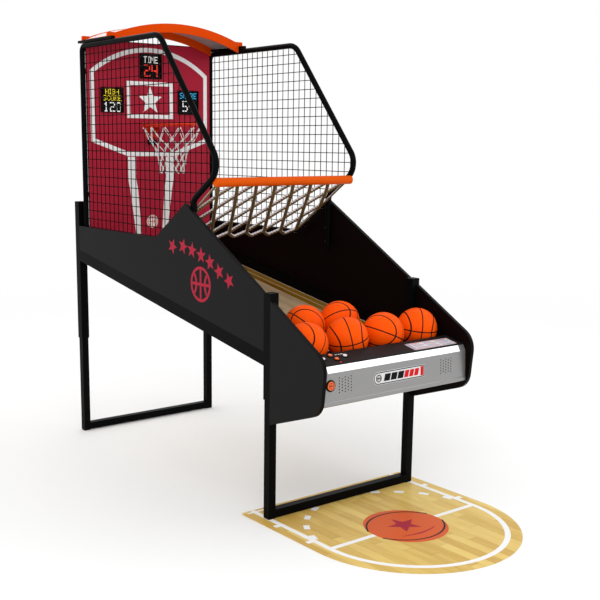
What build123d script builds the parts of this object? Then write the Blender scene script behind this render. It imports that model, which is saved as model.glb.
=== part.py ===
# Home arcade basketball machine: a steel leg frame, two side panels, a ball ramp and trough, a control
# console, a wire cage with a curved roof, a backboard with hoop, six balls and a court-pattern floor mat.
# Millimetres, +Z up. X = 0 is the centre line with the player's right at +X, Y = 0 is the front face of the
# front posts with the player standing at -Y, and Z = 0 is the floor.
from build123d import *
import os
from math import atan, cos, degrees, pi, radians, sin, sqrt

os.makedirs("parts", exist_ok=True)

# overall
machine_width = 990
frame_depth = 1981
seat_gap = 0.3          # between pieces that are assembled face to face
slip_gap = 0.1          # under flanges, heads and rails that are pulled tight

# fasteners
bolt_radius = 4
bolt_head = 6.5
bolt_head_height = 5
bolt_tail = 6           # how far a bolt reaches past what it holds
screw_radius = 3
screw_head = 6
screw_head_height = 3
screw_nut = 5.5
hole_clearance = 0.2

# posts and legs, square steel tube
post_size = 50
post_wall = 3.5
post_bottom = 602
front_post_top = 1121
rear_post_top = 1455
leg_clearance = 0.5
leg_wall = 2.5
leg_overlap = 180
foot_height = 6
mat_thickness = 3
cap_thickness = 4
cap_plug = 15

# ramp and rails
fall = 0.172            # rise of the ramp, rails and panel underside per unit of depth
rail_front_z = 759.4
rail_height = 69
rail_width = 40
rail_wall = 3
ramp_above_rail = 20.6
ramp_thickness = 12
cross_rail_width = 40
cross_rail_height = 25
trough_z = 778
trough_thickness = 10

# side panels
panel_thickness = 19
trim_thickness = 2.5
panel_front_z = 1115
panel_peak = (733, 1504)
panel_valley_y = 1029
panel_rear_height = 137.9    # above the rails at the back
cheek_depth = 398       # at its upper front corner; the front edge slopes back below it
cheek_bottom_depth = 374
cheek_rear_top = 1087
cheek_front_top = 860
cheek_front_bottom = 613
cheek_rear_bottom = 484
cheek_radius_top = 105
cheek_radius_bottom = 95

# cage
cage_tube = 32
cage_wall = 2
cage_top = 2375
cage_rear_inset = 81
cage_front_top_y = 1023
cage_corner = (452, 1688)
cage_stub = (700, 1523)
cage_stub_bottom = 1230
cage_radii = [36, 110, 95, 45]
wire = 4.4
wire_pitch = 51
wire_clearance = 0.1
mesh_below_panel = 46
bar_y = 513
bar_z = 1618
bar_diameter = 47
bar_overhang = 3        # how far the bar's ends reach past the middle of the cage tubes, less the coping
guard_net_end = (996, 1283)
guard_net_thickness = 22
guard_net_hooks = 5

# roof
arch_drop = 84.93       # from the top of an arch to its ends
roof_rise = 131         # top of the arches above the middle of the cage's top tube
arch_height = 50
arch_thickness = 16
roof_rail_width = 25
roof_rail_height = 15
roof_rail_front_y = 1520
roof_front_y = 1560
tab_width = 66
tab_thickness = 24
sheet_thickness = 3

# backboard and hoop
board_thickness = 12
board_top = 2418
board_rail = (30, 20)
board_rail_heights = (1500, 2230)
display_size = (155, 150)
display_depth = 9
display_wall = 2.5
display_places = [(0, 2279), (-275, 2067), (275, 2067)]
rim_radius = 178
rim_rod = 16
rim_z = 1923
rim_reach = 244
rim_hooks = 12
hook_ring = 5
hook_wire = 1.5
bracket_width = 92
bracket_height = 80
bracket_plate = 4
neck_width = 60
neck_thickness = 6
net_waist = [(142, 1833), (94, 1756), (74, 1618)]
net_wall = 4

# console
console_back_y = -217.3
console_back_thickness = 12
console_top_back = (-217.3, 852)
console_top_front = (-335, 828)
console_face_top = (-353, 795)
console_face_bottom = (-359, 650)
console_lip = 10
console_hem = 3         # how far the folded hem stands out below the face
console_hem_height = 20
console_sheet = 2
console_plate = 4
console_floor_z = 640
light_strip_end = 40    # silver end blocks beside the light strip
grille_x = 333
grille_z = 734
grille_columns = 5
grille_rows = 6
grille_pitch_x = 18
grille_pitch_z = 13.6
grille_hole = 6.5
start_place = (-423, 738)
small_buttons = {
    "upper_button": (-334, -247),
    "lower_button": (-331, -290),
    "right_button": (-263, -270),
    "left_button": (-397, -270),
}
small_cap = 20
start_cap = 41
cap_gap = 0.3
bezel_flange = 4.5
bezel_height = 3
body_wall = 2
body_depth = 20
cap_height = 5
stem = 6
switch_drop = 13
small_travel = 3
led_place = (-335, -324)
card_size = (296, 76)
card_x = 293
card_y = -288
plate_size = (340, 62)
plate_x = 11
plate_z = 732

# electronics on the back
box_size = (240, 120, 50)
box_wall = 3
box_drop = 20           # below the middle of the space under the lower board rail
inlet_size = (28, 20)
inlet_depth = 24
inlet_floor = 8
inlet_wall = 2
inlet_offset = 40       # from the left end of the box
inlet_flange = (36, 28)
inlet_flange_thickness = 1.8
pin_pitch = 7
pin_size = (2, 6)
pin_length = 13

# balls
ball_diameter = 210
row_gap_shares = [5, 47, 32, 27, 1]    # wall, gaps between the four front balls, wall
back_row = [(-162, 150), (72, 150)]

# floor mat
mat_width = 1096
mat_rear_y = 158
mat_centre_y = -442

# worked out from the above
half_width = machine_width / 2
leg_size = post_size - 2 * (post_wall + leg_clearance)
panel_rear_z = rail_front_z + rail_height + fall * frame_depth + panel_rear_height
panel_inner_x = half_width - panel_thickness
post_x = half_width - post_size / 2
front_post_y = post_size / 2
rear_post_y = frame_depth - post_size / 2
rail_inner_x = half_width - rail_width
cage_x = panel_inner_x - seat_gap - cage_tube / 2
cage_rear_y = frame_depth - cage_rear_inset
cage_inner_x = cage_x - cage_tube / 2 - seat_gap
board_front_y = cage_rear_y - cage_tube / 2
fall_angle = degrees(atan(fall))
sides = {"left": -1, "right": 1}


def keep(builder, name):
    builder.part.label = name
    export_step(builder.part, f"parts/{name}.step")


def rail_z(y):
    return rail_front_z + fall * y


def ramp_z(y):
    return rail_z(y) + ramp_above_rail


def between(side, near, far):
    # a YZ plane at the lower of two distances from the centre line, and the distance to the other
    low, high = sorted((side * near, side * far))
    return Plane.YZ.offset(low), high - low


def facing_player(y):
    # an upright plane whose sketches read X to the right and Z up; extrusions come towards the player
    return Plane(origin=(0, y, 0), x_dir=(1, 0, 0), z_dir=(0, -1, 0))


# ---------- legs and posts ----------
def leg_frame(name, y):
    leg_top = post_bottom + leg_overlap
    with BuildPart() as frame:
        with BuildSketch(Plane.XY.offset(foot_height)):
            with Locations((-post_x, y), (post_x, y)):
                Rectangle(leg_size, leg_size)
                Rectangle(leg_size - 2 * leg_wall, leg_size - 2 * leg_wall, mode=Mode.SUBTRACT)
        extrude(amount=leg_top - foot_height)
        bar_length = 2 * post_x - leg_size - 0.2
        with BuildSketch(Plane.YZ.offset(-bar_length / 2)):
            with Locations((y, foot_height + leg_size / 2)):
                Rectangle(leg_size, leg_size)
                Rectangle(leg_size - 2 * leg_wall, leg_size - 2 * leg_wall, mode=Mode.SUBTRACT)
        extrude(amount=bar_length)
        with Locations(*leg_bolt_planes(y)):
            Cylinder(bolt_radius + hole_clearance, 2 * leg_wall + 8, mode=Mode.SUBTRACT)
    keep(frame, name)


def leg_bolt_planes(y):
    # on the inner faces of the posts, two bolts to each leg, pointing towards the centre line
    planes = []
    for side in sides.values():
        for z in (post_bottom + 40, post_bottom + 110):
            origin = (side * (post_x - post_size / 2), y, z)
            planes.append(Plane(origin=origin, x_dir=(0, 1, 0), z_dir=(-side, 0, 0)))
    return planes


def post_pair(name, y, top):
    inner = post_size - 2 * post_wall
    with BuildPart() as posts:
        with BuildSketch(Plane.XY.offset(post_bottom)):
            with Locations((-post_x, y), (post_x, y)):
                Rectangle(post_size, post_size)
                Rectangle(inner, inner, mode=Mode.SUBTRACT)
        extrude(amount=top - cap_thickness - post_bottom)
        with Locations(*leg_bolt_planes(y)):
            Cylinder(bolt_radius + hole_clearance, 2 * post_wall + 6, mode=Mode.SUBTRACT)
    keep(posts, name)


leg_frame("front_leg_frame", front_post_y)
leg_frame("rear_leg_frame", rear_post_y)
post_pair("front_posts", front_post_y, front_post_top)
post_pair("rear_posts", rear_post_y, rear_post_top)

plug = post_size - 2 * post_wall - 0.2
with BuildPart() as post_caps:
    for y, top in ((front_post_y, front_post_top), (rear_post_y, rear_post_top)):
        with BuildSketch(Plane.XY.offset(top - cap_thickness)):
            with Locations((-post_x, y), (post_x, y)):
                RectangleRounded(post_size, post_size, 3)
        extrude(amount=cap_thickness)
        with BuildSketch(Plane.XY.offset(top - cap_thickness)):
            with Locations((-post_x, y), (post_x, y)):
                Rectangle(plug, plug)
        extrude(amount=-cap_plug)
keep(post_caps, "post_caps")

with BuildPart() as foot_glides:
    for y, bottom in ((front_post_y, mat_thickness), (rear_post_y, 0)):
        with BuildSketch(Plane.XY.offset(bottom)):
            with Locations((-post_x, y), (post_x, y)):
                RectangleRounded(leg_size, leg_size, 5)
        extrude(amount=foot_height - bottom)
keep(foot_glides, "foot_glides")

# ---------- ramp frame, ramp and ball trough ----------
rail_front_y = post_size + seat_gap
rail_rear_y = frame_depth - post_size - seat_gap
ramp_rear_y = frame_depth - post_size - 6
cross_rail_ys = [rail_front_y + 60, (rail_front_y + rail_rear_y) / 2, rail_rear_y - 120]

with BuildPart() as ramp_frame:
    for side in sides.values():
        plane, width = between(side, rail_inner_x, half_width)
        with BuildSketch(plane):
            Polygon(
                (rail_front_y, rail_z(rail_front_y)),
                (rail_rear_y, rail_z(rail_rear_y)),
                (rail_rear_y, rail_z(rail_rear_y) + rail_height),
                (rail_front_y, rail_z(rail_front_y) + rail_height),
                align=None,
            )
        extrude(amount=width)
        hollow, hollow_width = between(side, rail_inner_x + rail_wall, half_width - rail_wall)
        with BuildSketch(hollow):
            Polygon(
                (rail_front_y - 1, rail_z(rail_front_y - 1) + rail_wall),
                (rail_rear_y + 1, rail_z(rail_rear_y + 1) + rail_wall),
                (rail_rear_y + 1, rail_z(rail_rear_y + 1) + rail_height - rail_wall),
                (rail_front_y - 1, rail_z(rail_front_y - 1) + rail_height - rail_wall),
                align=None,
            )
        extrude(amount=hollow_width, mode=Mode.SUBTRACT)
    cross_length = 2 * rail_inner_x - 0.2
    for y in cross_rail_ys:
        drop = (ramp_thickness + cross_rail_height / 2 + 0.2) / cos(radians(fall_angle))
        with BuildSketch(Plane.YZ.offset(-cross_length / 2)):
            with Locations((y, ramp_z(y) - drop)):
                Rectangle(cross_rail_width, cross_rail_height, rotation=fall_angle)
                Rectangle(cross_rail_width - 5, cross_rail_height - 5, rotation=fall_angle, mode=Mode.SUBTRACT)
        extrude(amount=cross_length)
keep(ramp_frame, "ramp_frame")

with BuildPart() as ramp_board:
    with BuildSketch(Plane.YZ.offset(-rail_inner_x + seat_gap)):
        thick = ramp_thickness / cos(radians(fall_angle))
        Polygon(
            (rail_front_y, ramp_z(rail_front_y) - thick),
            (ramp_rear_y, ramp_z(ramp_rear_y) - thick),
            (ramp_rear_y, ramp_z(ramp_rear_y)),
            (rail_front_y, ramp_z(rail_front_y)),
            align=None,
        )
    extrude(amount=2 * (rail_inner_x - seat_gap))
keep(ramp_board, "ramp_board")

trough_front = console_back_y + seat_gap
with BuildPart() as ball_trough:
    with BuildSketch(Plane.XY.offset(trough_z - trough_thickness)):
        with Locations((0, (trough_front - seat_gap) / 2)):
            Rectangle(2 * (panel_inner_x - seat_gap), -seat_gap - trough_front)
    extrude(amount=trough_thickness)
    with BuildSketch(Plane.YZ.offset(-(post_x - post_size / 2 - seat_gap))):
        Polygon(
            (-seat_gap - 1, trough_z - trough_thickness),
            (post_size, trough_z - trough_thickness),
            (post_size, ramp_z(post_size)),
            (-seat_gap - 1, trough_z),
            align=None,
        )
    extrude(amount=2 * (post_x - post_size / 2 - seat_gap))
keep(ball_trough, "ball_trough")

# ---------- side panels, cheek panels and their edge trims ----------
panel_front_y = post_size + seat_gap
panel_rear_y = frame_depth - post_size - seat_gap


def panel_bottom(y):
    return rail_z(y) + rail_height + seat_gap


# edge line of the main panel from the rear post forward to the front post
panel_top = [
    (panel_rear_y, panel_rear_z),
    (panel_valley_y, panel_rear_z),
    panel_peak,
    (panel_front_y, panel_front_z),
]
panel_top_low = [(y, z - trim_thickness) for y, z in panel_top]
stub_bolt_places = [(cage_stub[0], cage_stub_bottom + 30), (cage_stub[0], cage_stub_bottom + 110)]
rear_bolt_places = [(cage_rear_y, panel_rear_z - 105), (cage_rear_y, panel_rear_z - 40)]


def cage_bolt_planes(side, x, places):
    return [Plane(origin=(side * x, y, z), x_dir=(0, 1, 0), z_dir=(-side, 0, 0)) for y, z in places]


for side_name, side in sides.items():
    plane, width = between(side, panel_inner_x, half_width)
    with BuildPart() as main_panel:
        with BuildSketch(plane):
            Polygon(
                (panel_front_y, panel_bottom(panel_front_y)),
                (panel_rear_y, panel_bottom(panel_rear_y)),
                *panel_top_low,
                align=None,
            )
        extrude(amount=width)
        with Locations(*cage_bolt_planes(side, panel_inner_x, stub_bolt_places + rear_bolt_places)):
            Cylinder(bolt_radius + hole_clearance, 26, mode=Mode.SUBTRACT)
    keep(main_panel, f"{side_name}_main_panel")


def cheek_outline():
    with BuildSketch(mode=Mode.PRIVATE) as outline:
        Polygon(
            (-seat_gap, cheek_rear_bottom),
            (-seat_gap, cheek_rear_top),
            (-cheek_depth, cheek_front_top),
            (-cheek_bottom_depth, cheek_front_bottom),
            align=None,
        )
        lower = [v for v in outline.vertices() if abs(v.Y - cheek_front_bottom) < 0.01]
        fillet(lower, cheek_radius_bottom)
        upper = [v for v in outline.vertices() if abs(v.Y - cheek_front_top) < 0.01]
        fillet(upper, cheek_radius_top)
    return outline.sketch


cheek_shape = cheek_outline()
for side_name, side in sides.items():
    plane, width = between(side, panel_inner_x, half_width)
    with BuildPart() as cheek_panel:
        with BuildSketch(plane):
            add(offset(cheek_shape, amount=-trim_thickness, mode=Mode.PRIVATE))
            with Locations((-seat_gap - trim_thickness, (cheek_rear_bottom + cheek_rear_top) / 2)):
                Rectangle(2 * trim_thickness, cheek_rear_top - cheek_rear_bottom - 3 * trim_thickness)
        extrude(amount=width)
    keep(cheek_panel, f"{side_name}_cheek_panel")

with BuildPart() as edge_trims:
    for side in sides.values():
        plane, width = between(side, panel_inner_x, half_width)
        with BuildSketch(plane):
            Polygon(*panel_top, *[(y, z + 0.1) for y, z in reversed(panel_top_low)], align=None)
            add(cheek_shape)
            add(offset(cheek_shape, amount=0.1 - trim_thickness, mode=Mode.PRIVATE), mode=Mode.SUBTRACT)
            with Locations((-seat_gap - trim_thickness, (cheek_rear_bottom + cheek_rear_top) / 2)):
                Rectangle(
                    2 * trim_thickness + 0.2,
                    cheek_rear_top - cheek_rear_bottom - 3 * trim_thickness + 0.2,
                    mode=Mode.SUBTRACT,
                )
        extrude(amount=width)
keep(edge_trims, "edge_trims")

# ---------- cage ----------
cage_foot_z = panel_bottom(cage_rear_y + cage_tube / 2) - 0.1
cage_path = [
    (cage_rear_y, cage_foot_z),
    (cage_rear_y, cage_top),
    (cage_front_top_y, cage_top),
    cage_corner,
    cage_stub,
    (cage_stub[0], cage_stub_bottom),
]


def cage_line(side):
    points = [(side * cage_x, y, z) for y, z in cage_path]
    return FilletPolyline(*points, radius=cage_radii)


for side_name, side in sides.items():
    with BuildPart() as cage_frame:
        with BuildLine() as path:
            cage_line(side)
        with BuildSketch(Plane(origin=(side * cage_x, cage_rear_y, cage_foot_z))):
            Circle(cage_tube / 2)
            Circle(cage_tube / 2 - cage_wall, mode=Mode.SUBTRACT)
        sweep(path=path.wires()[0])
        with Locations(*cage_bolt_planes(side, cage_x, stub_bolt_places)):
            Cylinder(bolt_radius + hole_clearance, cage_tube + 4, mode=Mode.SUBTRACT)
        with Locations(*cage_bolt_planes(side, cage_x + cage_tube / 2, rear_bolt_places)):
            Cylinder(bolt_radius + hole_clearance, cage_tube / 2, mode=Mode.SUBTRACT)
    keep(cage_frame, f"{side_name}_cage_frame")

# welded mesh: upright wires outside, level wires inside, cut to the inside of the tube frame
mesh_edge = [
    (cage_rear_y, panel_rear_z - mesh_below_panel),
    (cage_rear_y, cage_top),
    (cage_front_top_y, cage_top),
    cage_corner,
    cage_stub,
    (cage_stub[0], panel_peak[1] - mesh_below_panel + 22),
    (panel_valley_y, panel_rear_z - mesh_below_panel),
]
mesh_radii = [20, *cage_radii[:3], 30, 12, 60]
mesh_bottom = panel_rear_z - mesh_below_panel
mesh_columns = int((cage_rear_y - cage_corner[0]) / wire_pitch)
mesh_rows = int((cage_top - mesh_bottom) / wire_pitch)
wire_shift = wire / 2 + wire_clearance / 2
for side_name, side in sides.items():
    with BuildPart() as cage_mesh:
        for column in range(1, mesh_columns + 1):
            with Locations((side * (cage_x + wire_shift), cage_rear_y - column * wire_pitch, mesh_bottom)):
                Cylinder(wire / 2, cage_top - mesh_bottom, align=(Align.CENTER, Align.CENTER, Align.MIN))
        for row in range(1, mesh_rows + 1):
            with Locations((side * (cage_x - wire_shift), cage_corner[0], cage_top - row * wire_pitch)):
                Cylinder(
                    wire / 2,
                    cage_rear_y - cage_corner[0],
                    rotation=(-90, 0, 0),
                    align=(Align.CENTER, Align.CENTER, Align.MIN),
                )
        with BuildSketch(Plane.YZ.offset(side * cage_x - 2 * wire)):
            with BuildLine():
                FilletPolyline(*mesh_edge, radius=mesh_radii, close=True)
            make_face()
            offset(amount=-(cage_tube / 2 + 0.4), mode=Mode.REPLACE)
        extrude(amount=4 * wire, mode=Mode.INTERSECT)
    keep(cage_mesh, f"{side_name}_cage_mesh")

# the padded front bar is coped round both cage tubes
bar_half = cage_x - bar_overhang
with BuildPart() as front_bar:
    with BuildSketch(Plane.YZ.offset(-bar_half)):
        with Locations((bar_y, bar_z)):
            Circle(bar_diameter / 2)
    extrude(amount=2 * bar_half)
    chamfer(front_bar.edges().filter_by(GeomType.CIRCLE), 4)
    for side in sides.values():
        with BuildLine() as cope:
            cage_line(side)
        with BuildSketch(Plane(origin=(side * cage_x, cage_rear_y, cage_foot_z))):
            Circle(cage_tube / 2 + seat_gap)
        sweep(path=cope.wires()[0], mode=Mode.SUBTRACT)
keep(front_bar, "front_bar")

net_run = (guard_net_end[0] - bar_y, guard_net_end[1] - bar_z)
net_length = sqrt(net_run[0] ** 2 + net_run[1] ** 2)
net_along = (net_run[0] / net_length, net_run[1] / net_length)
net_start = bar_diameter / 2 + seat_gap
guard_half = cage_inner_x - 1


def net_point(s, lift=0):
    # a point on the guard net's slope, s from the bar's axis, lifted square to the net
    return (bar_y + s * net_along[0] - lift * net_along[1], bar_z + s * net_along[1] + lift * net_along[0])


with BuildPart() as guard_net:
    with BuildSketch(Plane.YZ.offset(-guard_half)):
        half = guard_net_thickness / 2
        Polygon(
            net_point(net_start, half),
            net_point(net_length, half),
            net_point(net_length, -half),
            net_point(net_start, -half),
            align=None,
        )
    extrude(amount=2 * guard_half)
keep(guard_net, "guard_net")

hook_start = (panel_peak[0] + 30 - bar_y) / net_along[0]
with BuildPart() as net_hooks:
    for side in sides.values():
        plane, width = between(side, guard_half + seat_gap, panel_inner_x - seat_gap)
        with BuildSketch(plane):
            for step in range(guard_net_hooks):
                s = hook_start + (net_length - 12 - hook_start) * step / (guard_net_hooks - 1)
                with Locations(net_point(s)):
                    Circle(2.5)
        extrude(amount=width)
keep(net_hooks, "guard_net_hooks")

# ---------- roof ----------
arch_half = cage_inner_x
roof_radius = (arch_half**2 + arch_drop**2) / (2 * arch_drop)
roof_top = cage_top + roof_rise
roof_centre_z = roof_top - roof_radius
rail_seat_z = cage_top + cage_tube / 2 + seat_gap
rail_top_z = rail_seat_z + roof_rail_height
roof_rear_y = board_front_y - 2 - arch_thickness

with BuildPart() as roof_rails:
    with BuildSketch(Plane.XY.offset(rail_seat_z)):
        length = cage_rear_y + cage_tube / 2 + 14 - roof_rail_front_y
        with Locations((-cage_x, roof_rail_front_y + length / 2), (cage_x, roof_rail_front_y + length / 2)):
            Rectangle(roof_rail_width, length)
    extrude(amount=roof_rail_height)
    fillet(roof_rails.edges().filter_by(Axis.Y).group_by(Axis.Z)[-1], 3)
keep(roof_rails, "roof_rails")


def roof_arch(name, front_y):
    # a curved fascia that drops between the rails, with a level tab over each rail
    with BuildPart() as arch:
        with BuildSketch(facing_player(front_y + arch_thickness)):
            with Locations((0, roof_centre_z)):
                Circle(roof_radius)
                Circle(roof_radius - arch_height, mode=Mode.SUBTRACT)
            with Locations((0, roof_top)):
                Rectangle(2 * arch_half, 2 * roof_radius - 200, mode=Mode.INTERSECT)
            with Locations((0, roof_centre_z - roof_radius)):
                Rectangle(3 * roof_radius, 2 * roof_radius, mode=Mode.SUBTRACT)
            for side in sides.values():
                with Locations((side * (cage_x + roof_rail_width / 2 - tab_width / 2), rail_top_z + seat_gap)):
                    Rectangle(tab_width, tab_thickness, align=(Align.CENTER, Align.MIN))
        extrude(amount=arch_thickness)
        fillet(arch.edges().filter_by(Axis.Y).group_by(Axis.X)[0].sort_by(Axis.Z)[-1:], 4)
        fillet(arch.edges().filter_by(Axis.Y).group_by(Axis.X)[-1].sort_by(Axis.Z)[-1:], 4)
    keep(arch, name)


roof_arch("front_roof_arch", roof_front_y)
roof_arch("rear_roof_arch", roof_rear_y)

sheet_radius = roof_radius - 6
sheet_half = sqrt(sheet_radius**2 - (rail_top_z + 1 - roof_centre_z) ** 2) - 2
with BuildPart() as roof_sheet:
    with BuildSketch(facing_player(roof_rear_y - seat_gap)):
        with Locations((0, roof_centre_z)):
            Circle(sheet_radius + sheet_thickness)
            Circle(sheet_radius, mode=Mode.SUBTRACT)
        with Locations((0, roof_top)):
            Rectangle(2 * sheet_half, roof_radius, mode=Mode.INTERSECT)
    extrude(amount=roof_rear_y - roof_front_y - arch_thickness - 2 * seat_gap)
keep(roof_sheet, "roof_sheet")

# ---------- backboard ----------
board_half = cage_inner_x - 0.5
board_bottom = ramp_z(board_front_y + board_thickness) + seat_gap
board_rail_y = board_front_y + board_thickness + slip_gap
screw_places = [(x, z) for z in board_rail_heights for x in (-330, -110, 110, 330)]
bracket_bottom = rim_z + 3 - bracket_height
rim_bolt_places = [(x, z) for x in (-37, 37) for z in (bracket_bottom + 14, bracket_bottom + 52)]

with BuildPart() as backboard:
    with BuildSketch(facing_player(board_front_y + board_thickness)):
        with Locations((0, (board_bottom + board_top) / 2)):
            RectangleRounded(2 * board_half, board_top - board_bottom, 8)
    extrude(amount=board_thickness)
    with Locations(*[(x, board_front_y + board_thickness, z) for x, z in screw_places]):
        Cylinder(screw_radius + hole_clearance, 16, rotation=(90, 0, 0), mode=Mode.SUBTRACT)
    with Locations(*[(x, board_front_y + board_thickness / 2, z) for x, z in rim_bolt_places]):
        Cylinder(screw_radius + hole_clearance, 2 * board_thickness, rotation=(90, 0, 0), mode=Mode.SUBTRACT)
keep(backboard, "backboard")

with BuildPart() as board_rails:
    for z in board_rail_heights:
        with BuildSketch(Plane.YZ.offset(-board_half)):
            with Locations((board_rail_y + board_rail[1] / 2, z)):
                Rectangle(board_rail[1], board_rail[0])
                Rectangle(board_rail[1] - 4, board_rail[0] - 4, mode=Mode.SUBTRACT)
        extrude(amount=2 * board_half)
    with Locations(*[(x, board_rail_y + board_rail[1] / 2, z) for x, z in screw_places]):
        Cylinder(screw_radius + hole_clearance, 2 * board_rail[1], rotation=(90, 0, 0), mode=Mode.SUBTRACT)
keep(board_rails, "backboard_rails")

with BuildPart() as display_housings:
    with BuildSketch(facing_player(board_front_y - seat_gap)):
        with Locations(*display_places):
            RectangleRounded(display_size[0], display_size[1], 4)
    extrude(amount=display_depth)
    with BuildSketch(facing_player(board_front_y - seat_gap - display_wall)):
        with Locations(*display_places):
            Rectangle(display_size[0] - 2 * display_wall, display_size[1] - 2 * display_wall)
    extrude(amount=display_depth, mode=Mode.SUBTRACT)
keep(display_housings, "display_housings")

with BuildPart() as display_lenses:
    with BuildSketch(facing_player(board_front_y - display_depth + 3)):
        with Locations(*display_places):
            Rectangle(display_size[0] - 2 * display_wall - 0.4, display_size[1] - 2 * display_wall - 0.4)
    extrude(amount=2.5)
keep(display_lenses, "display_lenses")

# ---------- hoop ----------
rim_y = board_front_y - rim_reach
hook_drop = rim_rod / 2 + hole_clearance + hook_ring + hook_wire
with BuildPart() as rim:
    with Locations((0, rim_y, rim_z)):
        Torus(rim_radius, rim_rod / 2)
    for step in range(rim_hooks):
        angle = 2 * pi * (step + 0.5) / rim_hooks
        place = Plane(
            origin=(rim_radius * cos(angle), rim_y + rim_radius * sin(angle), rim_z - hook_drop),
            x_dir=(0, 0, 1),
            z_dir=(-sin(angle), cos(angle), 0),
        )
        with Locations(place):
            Torus(hook_ring, hook_wire)
keep(rim, "rim")

plate_front_y = board_front_y - seat_gap - bracket_plate
neck_top = rim_z - rim_rod / 2 - seat_gap
with BuildPart() as rim_bracket:
    with BuildSketch(facing_player(board_front_y - seat_gap)):
        with Locations((0, bracket_bottom + bracket_height / 2)):
            RectangleRounded(bracket_width, bracket_height, 6)
    extrude(amount=bracket_plate)
    with BuildSketch(Plane.XY.offset(neck_top - neck_thickness)):
        neck_front_y = rim_y + rim_radius
        with Locations((0, neck_front_y)):
            Rectangle(neck_width, plate_front_y - neck_front_y + 1, align=(Align.CENTER, Align.MIN))
    extrude(amount=neck_thickness)
    for x in (-neck_width / 2 + 2, neck_width / 2 - 6):
        with BuildSketch(Plane.YZ.offset(x)):
            Polygon(
                (plate_front_y + 1, neck_top - neck_thickness + 1),
                (neck_front_y + 8, neck_top - neck_thickness + 1),
                (plate_front_y + 1, bracket_bottom + 8),
                align=None,
            )
        extrude(amount=4)
    with Locations(*[(x, plate_front_y, z) for x, z in rim_bolt_places]):
        Cylinder(screw_radius + hole_clearance, 20, rotation=(90, 0, 0), mode=Mode.SUBTRACT)
keep(rim_bracket, "rim_bracket")

with BuildPart() as rim_bolts:
    with BuildSketch(facing_player(plate_front_y - slip_gap)):
        with Locations(*rim_bolt_places):
            RegularPolygon(screw_nut, 6)
    extrude(amount=screw_head_height)
    with BuildSketch(facing_player(board_front_y + board_thickness + bolt_tail)):
        with Locations(*rim_bolt_places):
            Circle(screw_radius)
    extrude(amount=board_front_y + board_thickness + bolt_tail - plate_front_y + slip_gap)
    with BuildSketch(facing_player(board_front_y + board_thickness + slip_gap)):
        with Locations(*rim_bolt_places):
            RegularPolygon(screw_nut, 6)
    extrude(amount=-screw_head_height)
keep(rim_bolts, "rim_bolts")

# the net hangs from the rim's hooks
net_top = rim_z - hook_drop - hook_ring - hook_wire - seat_gap
net_profile = [(rim_radius + net_wall / 2, net_top), *net_waist]
with BuildPart() as hoop_net:
    with BuildSketch(Plane.XZ):
        inner = [(r - net_wall, z) for r, z in reversed(net_profile)]
        Polygon(*net_profile, *inner, align=None)
    revolve(axis=Axis.Z)
hoop_net.part.position = (0, rim_y, 0)
keep(hoop_net, "hoop_net")

sensor_z = bracket_bottom - 30
with BuildPart() as score_sensor:
    with BuildSketch(facing_player(board_front_y - seat_gap)):
        with Locations((0, sensor_z)):
            RectangleRounded(56, 30, 5)
    extrude(amount=20)
    with BuildSketch(facing_player(board_front_y - seat_gap - 20)):
        with Locations((-14, sensor_z), (14, sensor_z)):
            Circle(6)
    extrude(amount=3)
keep(score_sensor, "score_sensor")

# ---------- bolts that hold the frame together ----------
with BuildPart() as frame_bolts:
    for y in (front_post_y, rear_post_y):
        for plane in leg_bolt_planes(y):
            with BuildSketch(plane.offset(slip_gap)):
                RegularPolygon(bolt_head, 6)
            extrude(amount=bolt_head_height)
            with BuildSketch(plane.offset(slip_gap)):
                Circle(bolt_radius)
            extrude(amount=-(post_wall + leg_wall + bolt_tail))
    # the rear pair have their heads inside the cage tube, clear of the backboard
    for side in sides.values():
        for places, start in ((stub_bolt_places, cage_tube / 2 + slip_gap), (rear_bolt_places, -cage_wall)):
            for plane in cage_bolt_planes(side, cage_x, places):
                with BuildSketch(plane.offset(start)):
                    RegularPolygon(bolt_head, 6)
                extrude(amount=bolt_head_height)
                with BuildSketch(plane.offset(start)):
                    Circle(bolt_radius)
                extrude(amount=-(start + cage_tube / 2 + panel_thickness / 2))
    head_y = board_rail_y + board_rail[1] + slip_gap
    with BuildSketch(facing_player(head_y)):
        with Locations(*screw_places):
            Circle(screw_head)
    extrude(amount=-screw_head_height)
    with BuildSketch(facing_player(head_y + screw_head_height / 2)):
        with Locations(*screw_places):
            Circle(screw_radius)
    extrude(amount=screw_head_height / 2 + board_rail[1] + bolt_tail)
keep(frame_bolts, "frame_bolts")

# ---------- console ----------
console_half = panel_inner_x - seat_gap
face_run = (console_face_bottom[0] - console_face_top[0], console_face_bottom[1] - console_face_top[1])
face_tilt = degrees(atan(face_run[0] / face_run[1]))
top_slope = (console_top_back[1] - console_top_front[1]) / (console_top_back[0] - console_top_front[0])
top_tilt = degrees(atan(top_slope))
strip_run = (console_top_front[0] - console_face_top[0], console_top_front[1] - console_face_top[1])
strip_length = sqrt(strip_run[0] ** 2 + strip_run[1] ** 2)
strip_along = (strip_run[0] / strip_length, strip_run[1] / strip_length)


def top_z(y):
    return console_top_front[1] + top_slope * (y - console_top_front[0])


def face_y(z):
    return console_face_top[0] + face_run[0] * (z - console_face_top[1]) / face_run[1]


def strip_point(s, depth):
    # along the light strip from its lower edge, and into the console
    return (
        console_face_top[0] + s * strip_along[0] + depth * strip_along[1],
        console_face_top[1] + s * strip_along[1] - depth * strip_along[0],
    )


def top_plane(x, y):
    return Plane(origin=(x, y, top_z(y)), x_dir=(1, 0, 0), z_dir=(0, -sin(radians(top_tilt)), cos(radians(top_tilt))))


def face_plane(x, z):
    tilt = radians(face_tilt)
    return Plane(origin=(x, face_y(z), z), x_dir=(1, 0, 0), z_dir=(0, -cos(tilt), sin(tilt)))


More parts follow.
